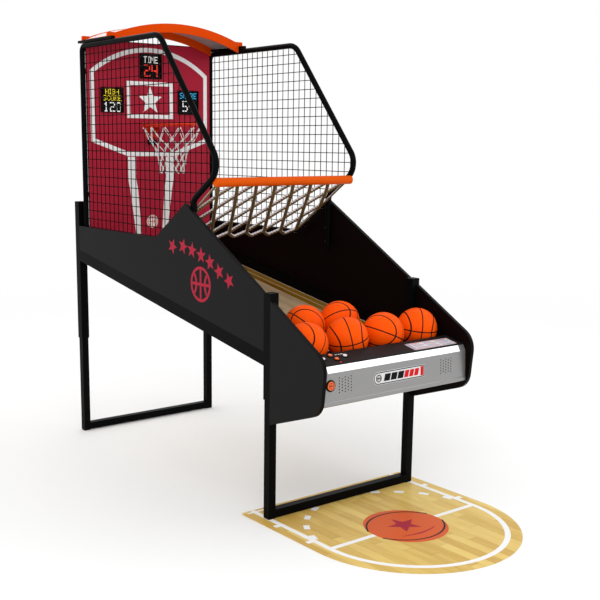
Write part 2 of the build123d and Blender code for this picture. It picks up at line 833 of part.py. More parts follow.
# where the strip's outer line meets the underside of the top plate
strip_end = strip_length - console_plate / sin(atan(strip_run[1] / strip_run[0]) - radians(top_tilt))
under = console_plate / cos(radians(top_tilt))
grille_holes = []
for column in range(grille_columns):
    rows = grille_rows - column % 2
    for row in range(rows):
        x = (column - (grille_columns - 1) / 2) * grille_pitch_x
        grille_holes.append((x, (row - (rows - 1) / 2) * grille_pitch_z))

with BuildPart() as console_front:
    with BuildSketch(Plane.YZ.offset(-console_half)):
        back, floor = console_back_y, console_floor_z
        bottom_y, bottom_z = console_face_bottom
        hem_top = floor + console_hem_height
        Polygon(
            console_face_top,
            (face_y(hem_top + console_hem), hem_top + console_hem),
            (face_y(hem_top) - console_hem, hem_top),
            (bottom_y - console_hem, bottom_z - console_lip / 2),
            (bottom_y + console_lip * 0.3, floor),
            (back, floor),
            (back, floor + console_sheet),
            (bottom_y + console_lip * 0.6 + 1, floor + console_sheet),
            (bottom_y + console_sheet, bottom_z + 0.5),
            strip_point(0, console_sheet),
            align=None,
        )
    extrude(amount=2 * console_half)
    for side in sides.values():
        plane, width = between(side, console_half - light_strip_end, console_half)
        with BuildSketch(plane):
            Polygon(
                strip_point(0, 0),
                strip_point(strip_end - 0.1, 0),
                strip_point(strip_end - 0.1, console_plate),
                strip_point(0, console_plate),
                align=None,
            )
        extrude(amount=width)
    for side in sides.values():
        with Locations(face_plane(side * grille_x, grille_z)):
            with Locations(*grille_holes):
                Cylinder(grille_hole / 2, 12, mode=Mode.SUBTRACT)
    with Locations(face_plane(*start_place)):
        Cylinder(start_cap / 2 + cap_gap + body_wall + 0.1, 16, mode=Mode.SUBTRACT)
keep(console_front, "console_front")

with BuildPart() as light_strip:
    with BuildSketch(Plane.YZ.offset(-console_half + light_strip_end + seat_gap)):
        Polygon(
            strip_point(0.1, 0),
            strip_point(strip_end - 0.1, 0),
            strip_point(strip_end - 0.1, console_plate),
            strip_point(0.1, console_plate),
            align=None,
        )
    extrude(amount=2 * (console_half - light_strip_end - seat_gap))
keep(light_strip, "console_light_strip")

with BuildPart() as console_top:
    with BuildSketch(Plane.YZ.offset(-console_half)):
        Polygon(
            console_top_front,
            console_top_back,
            (console_top_back[0], console_top_back[1] - under),
            strip_point(strip_end, 0),
            align=None,
        )
    extrude(amount=2 * console_half)
    with Locations(*[top_plane(*place) for place in small_buttons.values()]):
        Cylinder(small_cap / 2 + cap_gap + body_wall + 0.1, 20, mode=Mode.SUBTRACT)
    with Locations(top_plane(*led_place)):
        Cylinder(3.1, 20, mode=Mode.SUBTRACT)
keep(console_top, "console_top")

with BuildPart() as console_back:
    with BuildSketch(Plane.XY.offset(console_floor_z + console_sheet + 0.1)):
        with Locations((0, console_back_y - console_back_thickness / 2)):
            Rectangle(2 * console_half, console_back_thickness)
    extrude(amount=top_z(console_back_y - console_back_thickness) - under - console_floor_z - console_sheet - 0.4)
keep(console_back, "console_back")

with BuildPart() as speakers:
    for side in sides.values():
        place = face_plane(side * grille_x, grille_z).offset(-console_sheet - seat_gap)
        with BuildSketch(place):
            RectangleRounded(96, 88, 10)
        extrude(amount=-5)
        with BuildSketch(place.offset(-5)):
            Circle(41)
        extrude(amount=-22, taper=38)
        with BuildSketch(place.offset(-27)):
            Circle(28)
        extrude(amount=-16)
keep(speakers, "speakers")

with BuildPart() as status_led:
    with Locations(top_plane(*led_place)):
        Cylinder(3, 8)
    fillet(status_led.edges().group_by(Axis.Z)[-1], 1.5)
keep(status_led, "status_led")

with BuildPart() as instruction_card:
    with BuildSketch(top_plane(card_x, card_y).offset(0.1)):
        RectangleRounded(card_size[0], card_size[1], 4)
    extrude(amount=1.2)
keep(instruction_card, "instruction_card")

with BuildPart() as name_plate:
    with BuildSketch(face_plane(plate_x, plate_z).offset(0.1)):
        with Locations((-plate_size[0] / 2 + plate_size[1] / 2, 0)):
            Circle(plate_size[1] / 2)
        with Locations((plate_size[1] / 4, 0)):
            Rectangle(plate_size[0] - plate_size[1] / 2, plate_size[1])
    extrude(amount=2)
keep(name_plate, "name_plate")


# ---------- push buttons ----------
def button_cap(name, place, cap, travel):
    # a domed cap with a stem that reaches down to its switch
    with BuildPart() as button:
        with BuildSketch(place.offset(-6)):
            Circle(cap / 2)
        extrude(amount=6 + cap_height + travel)
        outward = Axis(place.origin, place.z_dir)
        fillet(button.edges().filter_by(GeomType.CIRCLE).sort_by(outward)[-1], 1.5)
        with BuildSketch(place.offset(-6)):
            Circle(stem / 2)
        extrude(amount=-(body_depth - 6))
    keep(button, name)


button_places = {name: (top_plane(*place), small_cap, console_plate) for name, place in small_buttons.items()}
button_places["start_button"] = (face_plane(*start_place), start_cap, console_sheet)

# threaded bodies through the plates, each with a flange outside and a nut inside
with BuildPart() as button_bezels:
    for place, cap, plate in button_places.values():
        inner = cap / 2 + cap_gap
        outer = inner + body_wall
        with BuildSketch(place.offset(0.1)):
            Circle(outer + bezel_flange)
            Circle(inner, mode=Mode.SUBTRACT)
        extrude(amount=bezel_height)
        with BuildSketch(place.offset(0.1)):
            Circle(outer)
            Circle(inner, mode=Mode.SUBTRACT)
        extrude(amount=-body_depth)
        with BuildSketch(place.offset(-plate - seat_gap)):
            Circle(outer + bezel_flange)
            Circle(outer - 0.5, mode=Mode.SUBTRACT)
        extrude(amount=-4)
keep(button_bezels, "button_bezels")

with BuildPart() as button_switches:
    for place, cap, plate in button_places.values():
        body = cap + 2 * cap_gap + 2 * body_wall
        with BuildSketch(place.offset(0.1 - body_depth - 0.2)):
            Rectangle(body, 12)
        extrude(amount=-switch_drop)
        with BuildSketch(place.offset(0.1 - body_depth - 0.2)):
            Rectangle(stem + 5, 12.2)
        extrude(amount=-small_travel - 0.6, mode=Mode.SUBTRACT)
keep(button_switches, "button_switches")

for name, (place, cap, plate) in button_places.items():
    button_cap(name, place, cap, small_travel)

# ---------- electronics on the back ----------
box_z = (board_rail_heights[0] + board_bottom) / 2 - box_drop
box_back_y = board_front_y + board_thickness + 2 * slip_gap + box_size[2]
inlet = (inlet_offset - box_size[0] / 2, box_z)
with BuildPart() as controller_box:
    with BuildSketch(facing_player(box_back_y)):
        with Locations((0, box_z)):
            RectangleRounded(box_size[0], box_size[1], 6)
    extrude(amount=box_size[2])
    with BuildSketch(facing_player(box_back_y - box_wall)):
        with Locations((0, box_z)):
            Rectangle(box_size[0] - 2 * box_wall, box_size[1] - 2 * box_wall)
    extrude(amount=box_size[2] - box_wall, mode=Mode.SUBTRACT)
    with BuildSketch(facing_player(box_back_y + 1)):
        with Locations(inlet):
            Rectangle(inlet_size[0] + 2 * hole_clearance, inlet_size[1] + 2 * hole_clearance)
    extrude(amount=2 * box_wall, mode=Mode.SUBTRACT)
keep(controller_box, "controller_box")

with BuildPart() as power_inlet:
    with BuildSketch(facing_player(box_back_y + slip_gap + inlet_flange_thickness)):
        with Locations(inlet):
            RectangleRounded(inlet_flange[0], inlet_flange[1], 4)
    extrude(amount=inlet_flange_thickness)
    with BuildSketch(facing_player(box_back_y + slip_gap)):
        with Locations(inlet):
            Rectangle(*inlet_size)
    extrude(amount=inlet_depth)
    floor_y = box_back_y + slip_gap - inlet_depth + inlet_floor
    with BuildSketch(facing_player(floor_y)):
        with Locations(inlet):
            Rectangle(inlet_size[0] - 2 * inlet_wall, inlet_size[1] - 2 * inlet_wall)
    extrude(amount=-inlet_depth, mode=Mode.SUBTRACT)
    with BuildSketch(facing_player(floor_y - 1)):
        with Locations(*[(inlet[0] + step * pin_pitch, inlet[1]) for step in (-1, 0, 1)]):
            Rectangle(*pin_size)
    extrude(amount=-pin_length)
keep(power_inlet, "power_inlet")

# ---------- balls ----------
ball_radius = ball_diameter / 2
free_width = 2 * panel_inner_x - 4 * ball_diameter
shares = sum(row_gap_shares)
ball_places = []
x = -panel_inner_x
for share in row_gap_shares[:4]:
    x += share * free_width / shares + ball_radius
    ball_places.append((x, console_back_y + ball_radius + seat_gap, trough_z + ball_radius + seat_gap))
    x += ball_radius
for x, y in back_row:
    ball_places.append((x, y, ramp_z(y) + (ball_radius + seat_gap) / cos(radians(fall_angle))))
for number, place in enumerate(ball_places, start=1):
    with BuildPart() as ball:
        with Locations(place):
            Sphere(ball_radius)
    keep(ball, f"ball_{number}")

# ---------- floor mat: a free-throw lane with a round front ----------
with BuildPart() as floor_mat:
    with BuildSketch():
        with Locations((0, mat_centre_y)):
            Circle(mat_width / 2)
            Rectangle(mat_width, mat_rear_y - mat_centre_y, align=(Align.CENTER, Align.MIN))
    extrude(amount=mat_thickness)
    fillet(floor_mat.edges().filter_by(Axis.Z).group_by(Axis.Y)[-1], 12)
keep(floor_mat, "floor_mat")
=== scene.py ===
import math
import random

import bmesh
import bpy
from mathutils import Euler, Matrix, Vector


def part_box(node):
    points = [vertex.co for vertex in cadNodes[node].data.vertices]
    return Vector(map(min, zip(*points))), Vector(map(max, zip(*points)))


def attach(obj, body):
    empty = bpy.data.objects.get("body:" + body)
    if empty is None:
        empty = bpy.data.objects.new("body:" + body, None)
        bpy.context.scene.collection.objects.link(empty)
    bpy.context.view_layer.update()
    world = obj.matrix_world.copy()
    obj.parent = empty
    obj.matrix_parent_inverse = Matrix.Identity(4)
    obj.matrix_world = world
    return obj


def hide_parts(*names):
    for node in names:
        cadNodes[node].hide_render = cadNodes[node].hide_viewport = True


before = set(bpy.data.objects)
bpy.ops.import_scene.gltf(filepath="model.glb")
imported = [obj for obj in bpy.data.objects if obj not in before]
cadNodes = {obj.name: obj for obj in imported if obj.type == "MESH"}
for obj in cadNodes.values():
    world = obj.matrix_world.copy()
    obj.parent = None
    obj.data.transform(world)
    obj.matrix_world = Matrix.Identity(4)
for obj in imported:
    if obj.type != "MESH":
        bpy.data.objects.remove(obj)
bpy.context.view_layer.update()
print("frame loaded,", len(cadNodes), "nodes")


# small helpers
def middle(node):
    low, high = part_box(node)
    return (low + high) / 2


def toned(colour, factor):
    return tuple(min(1, channel * factor) for channel in colour)


class Signal:
    # one output socket; sums on it add Math nodes to its tree
    def __init__(self, graph, socket):
        self.graph = graph
        self.socket = socket

    def maths(self, operation, *terms):
        return self.graph.node("ShaderNodeMath", {"operation": operation}, dict(enumerate(terms)))

    def __add__(self, other):
        return self.maths("ADD", self, other)

    def __sub__(self, other):
        return self.maths("SUBTRACT", self, other)

    def __rsub__(self, other):
        return self.maths("SUBTRACT", other, self)

    def __mul__(self, other):
        return self.maths("MULTIPLY", self, other)

    def __truediv__(self, other):
        return self.maths("DIVIDE", self, other)

    def __abs__(self):
        return self.maths("ABSOLUTE", self)

    def __lt__(self, other):
        return self.maths("LESS_THAN", self, other)

    __radd__ = __add__
    __rmul__ = __mul__

    def only(self, operation):
        return self.maths(operation, self)

    def least(self, other):
        return self.maths("MINIMUM", self, other)

    def most(self, other):
        return self.maths("MAXIMUM", self, other)

    def rise(self, low, high):
        # 0 below low, 1 above high, a smooth step between
        settings = {"interpolation_type": "SMOOTHSTEP"}
        return self.graph.node("ShaderNodeMapRange", settings, {0: self, 1: low, 2: high})


class Graph:
    # a node tree; node() adds any kind of node, with its settings first and then its sockets
    def __init__(self, tree):
        self.tree = tree

    def node(self, kind, settings, sockets, output=0):
        added = self.tree.nodes.new(kind)
        for key, value in settings.items():
            setattr(added, key, value)
        for key, value in sockets.items():
            if isinstance(value, Signal):
                self.tree.links.new(value.socket, added.inputs[key])
            elif isinstance(value, tuple) and len(value) == 3 and added.inputs[key].type == "RGBA":
                added.inputs[key].default_value = (*value, 1)
            else:
                added.inputs[key].default_value = value
        return Signal(self, added.outputs[output])


class Finish(Graph):
    # a material; values that are the same all over are set on the shader itself
    def __init__(self, name, **fixed):
        self.material = bpy.data.materials.new(name)
        self.material.use_nodes = True
        super().__init__(self.material.node_tree)
        self.shader = self.tree.nodes["Principled BSDF"]
        for socket, value in fixed.items():
            spaced = "".join(" " + c if c.isupper() else c for c in socket).strip().replace("I O R", "IOR")
            if isinstance(value, tuple) and len(value) == 3:
                value = (*value, 1)
            self.shader.inputs[spaced].default_value = value

    def feed(self, socket, value):
        self.tree.links.new(value.socket, self.shader.inputs[socket])

    def place(self, scale=(1, 1, 1)):
        where = self.node("ShaderNodeTexCoord", {}, {}, "Object")
        sockets = {"Vector": where, "Scale": scale}
        return self.node("ShaderNodeMapping", {}, sockets)

    def attribute(self, name):
        return self.node("ShaderNodeAttribute", {"attribute_name": name}, {}, "Vector")

    def parts(self, vector):
        split = self.tree.nodes.new("ShaderNodeSeparateXYZ")
        self.tree.links.new(vector.socket, split.inputs[0])
        return [Signal(self, output) for output in split.outputs]

    def noise(self, where, scale, detail=3.0, roughness=0.55, distortion=0.0):
        sockets = {"Vector": where, "Scale": scale, "Detail": detail}
        return self.node("ShaderNodeTexNoise", {}, dict(sockets, Roughness=roughness, Distortion=distortion))

    def cells(self, where, scale):
        # distance from the middle of the nearest of many rounded cells
        settings = {"feature": "SMOOTH_F1"}
        return self.node("ShaderNodeTexVoronoi", settings, {"Vector": where, "Scale": scale}, "Distance")

    def mix(self, mask, first, second):
        return self.node("ShaderNodeMix", {"data_type": "RGBA"}, {0: mask, 6: first, 7: second}, 2)

    def upward(self):
        # 1 where the surface looks up, -1 where it looks down
        return self.parts(self.node("ShaderNodeNewGeometry", {}, {}, "Normal"))[2]

    def paint(self, colour):
        self.feed("Base Color", colour)

    def relief(self, height, strength, distance):
        sockets = {"Height": height, "Strength": strength, "Distance": distance}
        self.feed("Normal", self.node("ShaderNodeBump", {}, sockets))


class Growth(Graph):
    # a geometry node tree with named sizes; it ends in Realize Instances and Set Material
    def __init__(self, name, **sizes):
        self.group = bpy.data.node_groups.new(name, "GeometryNodeTree")
        super().__init__(self.group)
        sockets = self.group.interface
        sockets.new_socket("Geometry", in_out="INPUT", socket_type="NodeSocketGeometry")
        sockets.new_socket("Geometry", in_out="OUTPUT", socket_type="NodeSocketGeometry")
        for label, value in sizes.items():
            kind = "NodeSocketInt" if isinstance(value, int) else "NodeSocketFloat"
            sockets.new_socket(label, in_out="INPUT", socket_type=kind).default_value = value
        sockets.new_socket("Material", in_out="INPUT", socket_type="NodeSocketMaterial")
        self.entry = self.group.nodes.new("NodeGroupInput")
        self.exit = self.group.nodes.new("NodeGroupOutput")

    def size(self, label):
        return Signal(self, self.entry.outputs[label])

    def extent(self):
        labels = ("Width", "Depth", "Height")
        return self.node("ShaderNodeCombineXYZ", {}, {i: self.size(label) for i, label in enumerate(labels)})

    def onPoints(self, instance, **sockets):
        # one instance at each point of the mesh that the tree runs on
        points = self.node("GeometryNodeMeshToPoints", {}, {"Mesh": self.size("Geometry")})
        sockets.update(Points=points, Instance=instance)
        self.close(self.node("GeometryNodeInstanceOnPoints", {}, sockets))

    def close(self, geometry):
        real = self.node("GeometryNodeRealizeInstances", {}, {0: geometry})
        sockets = {"Geometry": real, "Material": self.size("Material")}
        painted = self.node("GeometryNodeSetMaterial", {}, sockets)
        self.tree.links.new(painted.socket, self.exit.inputs[0])

    def grow(self, name, points, edges, finish, **sizes):
        # runs the tree on points and edges, and returns the result as a plain mesh object
        seed = bpy.data.meshes.new(name + "Seed")
        seed.from_pydata(points, edges, [])
        holder = bpy.data.objects.new(name + "Seed", seed)
        bpy.context.scene.collection.objects.link(holder)
        modifier = holder.modifiers.new("growth", "NODES")
        modifier.node_group = self.group
        values = dict(sizes, Material=finish.material)
        for item in self.group.interface.items_tree:
            if item.in_out == "INPUT" and item.name in values:
                modifier[item.identifier] = values[item.name]
        graph = bpy.context.evaluated_depsgraph_get()
        mesh = bpy.data.meshes.new_from_object(holder.evaluated_get(graph), depsgraph=graph)
        bpy.data.objects.remove(holder)
        bpy.data.meshes.remove(seed)
        mesh.polygons.foreach_set("use_smooth", [True] * len(mesh.polygons))
        return shown(name, mesh)


def shown(name, mesh, finish=None):
    mesh.name = name
    piece = bpy.data.objects.new(name, mesh)
    bpy.context.scene.collection.objects.link(piece)
    if finish:
        mesh.materials.append(finish.material)
    return piece


def ridden(piece, body, slot, *stoodFor):
    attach(piece, body)
    if stoodFor:
        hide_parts(*stoodFor)


def dress(finish, *names):
    for name in names:
        for entry in cadNodes[name].material_slots:
            entry.link = "OBJECT"
            entry.material = finish.material


# camera, light and floor
studio = {
    "cameraPlace": (-3.3275, -3.6713, 1.8086),
    "turn": 37.282,          # degrees from +Y towards +X
    "tilt": 10.514,          # degrees below level
    "roll": 0.398,
    "lens": 60.12,
    "shift": (0.0604, 0.0502),
    "worldColour": (1.0, 1.0, 1.0),
    "worldStrength": 1.0,
    "floorColour": (0.94, 0.94, 0.94),
    "floorSize": 60.0,
    "floorFade": (3.5, 9.0),
    "lights": [
        # place, aimed at, size, watts
        ((-3.6, -3.4, 4.4), (0.0, 0.5, 1.1), 2.6, 70),
        ((3.8, -2.2, 3.6), (0.0, 0.6, 1.3), 3.0, 25),
        ((0.5, 4.6, 4.2), (0.0, 1.2, 1.6), 3.0, 25),
    ],
}


def makeStudio(s):
    scene = bpy.context.scene
    scene.view_settings.view_transform = "Standard"
    camera = bpy.data.objects.new("camera", bpy.data.cameras.new("camera"))
    scene.collection.objects.link(camera)
    camera.data.lens = s["lens"]
    camera.data.shift_x, camera.data.shift_y = s["shift"]
    heading = Matrix.Rotation(-math.radians(s["turn"]), 4, "Z")
    leaning = Matrix.Rotation(math.radians(90 - s["tilt"]), 4, "X")
    rolling = Matrix.Rotation(math.radians(s["roll"]), 4, "Z")
    camera.matrix_world = Matrix.Translation(s["cameraPlace"]) @ heading @ leaning @ rolling
    scene.camera = camera

    world = bpy.data.worlds.new("paleRoom")
    world.use_nodes = True
    backdrop = world.node_tree.nodes["Background"]
    backdrop.inputs["Color"].default_value = (*s["worldColour"], 1)
    backdrop.inputs["Strength"].default_value = s["worldStrength"]
    scene.world = world

    for number, (place, target, size, watts) in enumerate(s["lights"], 1):
        lamp = bpy.data.lights.new(f"softBox{number}", "AREA")
        lamp.shape = "DISK"
        lamp.size = size
        lamp.energy = watts
        holder = bpy.data.objects.new(lamp.name, lamp)
        scene.collection.objects.link(holder)
        holder.location = place
        aim = Vector(target) - Vector(place)
        holder.rotation_euler = aim.to_track_quat("-Z", "Y").to_euler()

    half = s["floorSize"] / 2
    sheet = bpy.data.meshes.new("floor")
    corners = [(-half, -half, 0), (half, -half, 0), (half, half, 0), (-half, half, 0)]
    sheet.from_pydata(corners, [], [(0, 1, 2, 3)])
    finish = Finish("paleFloor", Roughness=0.9, BaseColor=s["floorColour"])
    away = finish.node("ShaderNodeVectorMath", {"operation": "LENGTH"}, {0: finish.place()}, 1)
    glow = finish.node("ShaderNodeEmission", {}, {"Color": s["worldColour"], "Strength": s["worldStrength"]})
    fade = away.rise(*s["floorFade"])
    lit = Signal(finish, finish.shader.outputs[0])
    surface = finish.node("ShaderNodeMixShader", {}, {0: fade, 1: lit, 2: glow})
    finish.tree.links.new(surface.socket, finish.tree.nodes["Material Output"].inputs["Surface"])
    floor = shown("floor", sheet, finish)
    floor.location.z = -0.0005


makeStudio(studio)
print("camera, lights and floor")


# finishes of the frame, panels and console
def powderCoat(name, colour, roughness=0.4, peel=0.12, wear=0.25, gloss=0.03):
    # baked-on paint with a fine orange peel, cloudy gloss and a few rubbed patches
    finish = Finish(name, SpecularIORLevel=gloss)
    where = finish.place()
    clouds = finish.noise(where, 5, 3)
    rubbed = finish.noise(where, 38, 5, 0.7).rise(0.62, 0.74) * clouds.rise(0.45, 0.7)
    bare = tuple(channel + 0.012 for channel in toned(colour, 1.5))
    finish.paint(finish.mix(rubbed * wear, colour, bare))
    finish.feed("Roughness", clouds * 0.2 + (roughness - 0.1) + rubbed * 0.1)
    finish.relief(finish.noise(where, 620, 2), peel, 0.0006)
    return finish


def grainedPlastic(name, colour, roughness=0.5, grain=0.3, scale=1100):
    # moulded plastic with a fine leather-like grain
    finish = Finish(name, SpecularIORLevel=0.05)
    where = finish.place()
    clouds = finish.noise(where, 9, 3)
    finish.paint(finish.mix(clouds, toned(colour, 0.85), toned(colour, 1.2)))
    finish.feed("Roughness", clouds * 0.16 + (roughness - 0.08))
    finish.relief(finish.cells(where, scale), grain, 0.0004)
    return finish


def laminateBoard(name, colour, inside, innerFace, roughness=0.46):
    # pressed laminate on fibreboard: a faint linen texture and soft smudges
    # the face inside the machine, nearer its middle than innerFace, is darker: painted shade standing for the
    # shadow inside the cabinet
    finish = Finish(name, SpecularIORLevel=0.03)
    where = finish.place()
    along = finish.noise(finish.place((1, 90, 900)), 1, 2)
    across = finish.noise(finish.place((1, 900, 90)), 1, 2)
    linen = along * 0.5 + across * 0.5
    smudges = finish.noise(where, 3.2, 4, 0.6, 0.4)
    outer = finish.mix(smudges, toned(colour, 0.88), toned(colour, 1.14))
    x, y, z = finish.parts(where)
    # painted shade: the inner face takes the dark inside colour in place of the shadow inside the machine
    finish.paint(finish.mix(abs(x).rise(innerFace, innerFace + 0.001), inside, outer))
    finish.feed("Roughness", smudges * 0.2 + linen * 0.1 + (roughness - 0.16))
    finish.relief(linen, 0.16, 0.0005)
    return finish


def brushedSheet(name, colour, roughness=0.34):
    # satin metal sheet brushed along its length
    finish = Finish(name, Metallic=0.55)
    strokes = finish.noise(finish.place((3, 700, 700)), 1, 4, 0.65)
    clouds = finish.noise(finish.place(), 4, 3)
    finish.paint(finish.mix(strokes, toned(colour, 0.9), toned(colour, 1.08)))
    finish.feed("Roughness", strokes * 0.16 + clouds * 0.08 + (roughness - 0.12))
    finish.relief(strokes, 0.08, 0.0004)
    return finish


def platedSteel(name, colour, roughness=0.32):
    # zinc plate with a faint spangle
    finish = Finish(name, Metallic=1.0)
    spangle = finish.node("ShaderNodeTexVoronoi", {}, {"Vector": finish.place(), "Scale": 420}, "Color")
    clouds = finish.noise(finish.place(), 60, 3)
    finish.paint(finish.mix(clouds, toned(colour, 0.8), colour))
    finish.feed("Roughness", finish.parts(spangle)[0] * 0.14 + clouds * 0.1 + (roughness - 0.12))
    finish.relief(clouds, 0.1, 0.0003)
    return finish


blackCoat = powderCoat("blackPowderCoat", (0.002, 0.002, 0.0022))
meshCoat = powderCoat("blackMeshCoat", (0.0015, 0.0015, 0.0016), 0.38, 0.2)
orangeSleeve = powderCoat("orangeBarCoat", (0.66, 0.085, 0.003), 0.4, 0.1, 0.12)
archOrange = powderCoat("orangeArchCoat", (0.68, 0.056, 0.0), 0.42, 0.08, 0.1)
rimRed = powderCoat("redRimEnamel", (0.66, 0.02, 0.003), 0.28, 0.06, 0.3, 0.25)
blackPlastic = grainedPlastic("blackGrainPlastic", (0.0025, 0.0025, 0.0027))
topPlastic = grainedPlastic("greyGrainPlastic", (0.0125, 0.0125, 0.0127))
smoothBlack = grainedPlastic("blackSmoothPlastic", (0.002, 0.002, 0.0022), 0.32, 0.08, 1600)
footRubber = grainedPlastic("footRubber", (0.012, 0.012, 0.012), 0.78, 0.5, 700)
# the second colour is painted shade for the panels' inner faces
graphite, insideShade = (0.0125, 0.0125, 0.0125), (0.0045, 0.002, 0.002)
panelInside = min(abs(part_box(name)[0].x) for name in ("right_main_panel", "right_cheek_panel"))
graphiteBoard = laminateBoard("graphiteLaminate", graphite, insideShade, panelInside + 0.001)
silverSheet = brushedSheet("silverConsoleSheet", (0.29, 0.287, 0.288))
zincPlate = platedSteel("zincPlate", (0.5, 0.5, 0.49))
blackZinc = platedSteel("blackZinc", (0.05, 0.05, 0.052), 0.4)

dress(blackCoat, "front_leg_frame", "rear_leg_frame", "front_posts", "rear_posts", "ramp_frame",
      "left_cage_frame", "right_cage_frame", "roof_rails", "backboard_rails")
dress(meshCoat, "left_cage_mesh", "right_cage_mesh")
dress(topPlastic, "console_top")
dress(blackPlastic, "post_caps", "speakers", "score_sensor", "controller_box", "button_switches")
dress(smoothBlack, "edge_trims", "display_housings", "button_bezels", "power_inlet")
dress(footRubber, "foot_glides")
dress(graphiteBoard, "left_main_panel", "right_main_panel", "left_cheek_panel", "right_cheek_panel")
dress(orangeSleeve, "front_bar")
dress(archOrange, "front_roof_arch", "rear_roof_arch")
dress(rimRed, "rim", "rim_bracket")
dress(silverSheet, "console_front")
dress(zincPlate, "rim_bolts", "guard_net_hooks")
dress(blackZinc, "frame_bolts")
print("frame, panels and console dressed")


# printed graphics: thin closed shapes laid on a surface
def arc(centre, radius, start, end, steps):
    angles = [math.radians(start + (end - start) * step / steps) for step in range(steps + 1)]
    return [(centre[0] + radius * math.cos(a), centre[1] + radius * math.sin(a)) for a in angles]


def disc(centre, radius, steps=48):
    return arc(centre, radius, 0, 360, steps)[:-1]


def star(centre, radius, turn=90, waist=0.42):
    points = []
    for step in range(10):
        reach = radius if step % 2 == 0 else radius * waist
        a = math.radians(turn + 36 * step)
        points.append((centre[0] + reach * math.cos(a), centre[1] + reach * math.sin(a)))
    return points


def bar(low, high):
    return [(low[0], low[1]), (high[0], low[1]), (high[0], high[1]), (low[0], high[1])]


def stroke(points, width, closed=False):
    # four-sided outlines along a line, mitred at its corners; width may change along the line
    count = len(points)
    widths = width if isinstance(width, list) else [width] * count
    edges = []
    for i, point in enumerate(points):
        here = Vector(point)
        before = Vector(points[i - 1]) if i > 0 or closed else None
        after = Vector(points[(i + 1) % count]) if i < count - 1 or closed else None
        arrive = (here - before).normalized() if before else (after - here).normalized()
        leave = (after - here).normalized() if after else arrive
        side = Vector((-arrive.y - leave.y, arrive.x + leave.x)).normalized()
        reach = widths[i] / 2 / max(0.35, side.dot(Vector((-arrive.y, arrive.x))))
        edges.append((here + side * reach, here - side * reach))
    last = count if closed else count - 1
    return [[*edges[i], *reversed(edges[(i + 1) % count])] for i in range(last)]


def ballIcon(centre, radius, width):
    # a plain ball: rim, two straight seams and two curved ones
    seams = stroke(disc(centre, radius - width / 2), width, True)
    cx, cy = centre
    inner = radius - width
    seams += stroke([(cx - inner, cy), (cx + inner, cy)], width)
    # the curved seams run from the level one to the rim, and nothing overlaps
    away, bend = radius * 1.28, radius * 0.86
    first = math.degrees(math.asin(width / 2 / bend))
    last = math.degrees(math.acos((away ** 2 + bend ** 2 - (inner * 0.97) ** 2) / (2 * away * bend)))
    for half in (-1, 1):
        seams += stroke([(cx, cy + half * width / 2), (cx, cy + half * inner)], width)
        for side in (-1, 1):
            facing = 90 + 90 * side
            curve = arc((cx + side * away, cy), bend, facing + half * first, facing + half * last, 7)
            seams += stroke(curve, width)
    return seams


def printed(name, outlines, place, thickness, finish):
    # place(u, v, lift) gives the point of a flat drawing on the object
    shape = bmesh.new()
    for outline in outlines:
        corners = [shape.verts.new((p[0], p[1], 0)) for p in outline]
        shape.faces.new(corners)
    bmesh.ops.remove_doubles(shape, verts=shape.verts, dist=1e-5)
    for face in shape.faces:
        if face.normal.z < 0:
            face.normal_flip()
    top = bmesh.ops.extrude_face_region(shape, geom=shape.faces[:])
    for vert in [v for v in top["geom"] if isinstance(v, bmesh.types.BMVert)]:
        vert.co.z = thickness
    for vert in shape.verts:
        vert.co = place(*vert.co)
    bmesh.ops.recalc_face_normals(shape, faces=shape.faces)
    bmesh.ops.triangulate(shape, faces=shape.faces)
    mesh = bpy.data.meshes.new(name)
    shape.to_mesh(mesh)
    shape.free()
    return shown(name, mesh, finish)


def inked(name, outlines, place, thickness, finish, slot, body="root"):
    ridden(printed(name, outlines, place, thickness, finish), body, slot)


def screenInk(name, colour, roughness=0.42):
    # printed ink with a slight tooth and uneven cover
    finish = Finish(name, SpecularIORLevel=0.08)
    where = finish.place()
    cover = finish.noise(where, 26, 4, 0.6)
    finish.paint(finish.mix(cover, toned(colour, 0.93), toned(colour, 1.05)))
    finish.feed("Roughness", cover * 0.14 + (roughness - 0.07))
    finish.relief(finish.noise(where, 900, 2), 0.1, 0.0003)
    return finish


whiteInk = screenInk("whiteInk", (0.9, 0.9, 0.9))
crimsonInk = screenInk("crimsonInk", (0.39, 0.012, 0.036))
blackInk = screenInk("blackInk", (0.003, 0.003, 0.0032))
redInk = screenInk("redInk", (0.62, 0.008, 0.012))
blueInk = screenInk("blueInk", (0.05, 0.11, 0.4))
greyInk = screenInk("greyInk", (0.33, 0.34, 0.37))
orangeInk = screenInk("orangeInk", (0.69, 0.105, 0.018))

# backboard
boardArt = {
    "ink": 0.0004,
    "squareHalf": 0.154,
    "squareHeights": (1.974, 2.174),
    "squareWidth": 0.024,
    "outlineHalf": 0.4085,
    "outlineWidth": 0.027,
    "outlineCorner": 2.232,
    "outlineTop": 2.3765,
    "lowCorner": 1.826,
    "lowShoulder": (0.170, 1.743),
    # each lane's line: distance from the middle, height and width; the last two are above the lower edge
    "lane": [(0.138, 1.725, 0.056), (0.138, 1.595, 0.056), (0.134, 1.565, 0.056), (0.126, 1.525, 0.056)],
    "laneFoot": [(0.0915, 0.1, 0.037), (0.0875, 0.002, 0.037)],
    "drift": -0.0045,        # square, star and lanes sit a little to the left
    "starSize": 0.088,
    "starDrop": 0.004,
    "ballPlace": (0.0, 1.318),
    "ballSize": 0.041,
    "seamWidth": 0.005,
    "topBand": (0.004, 0.004, 0.0006),     # lower edge, side margin and upper edge, from the board's edges
}


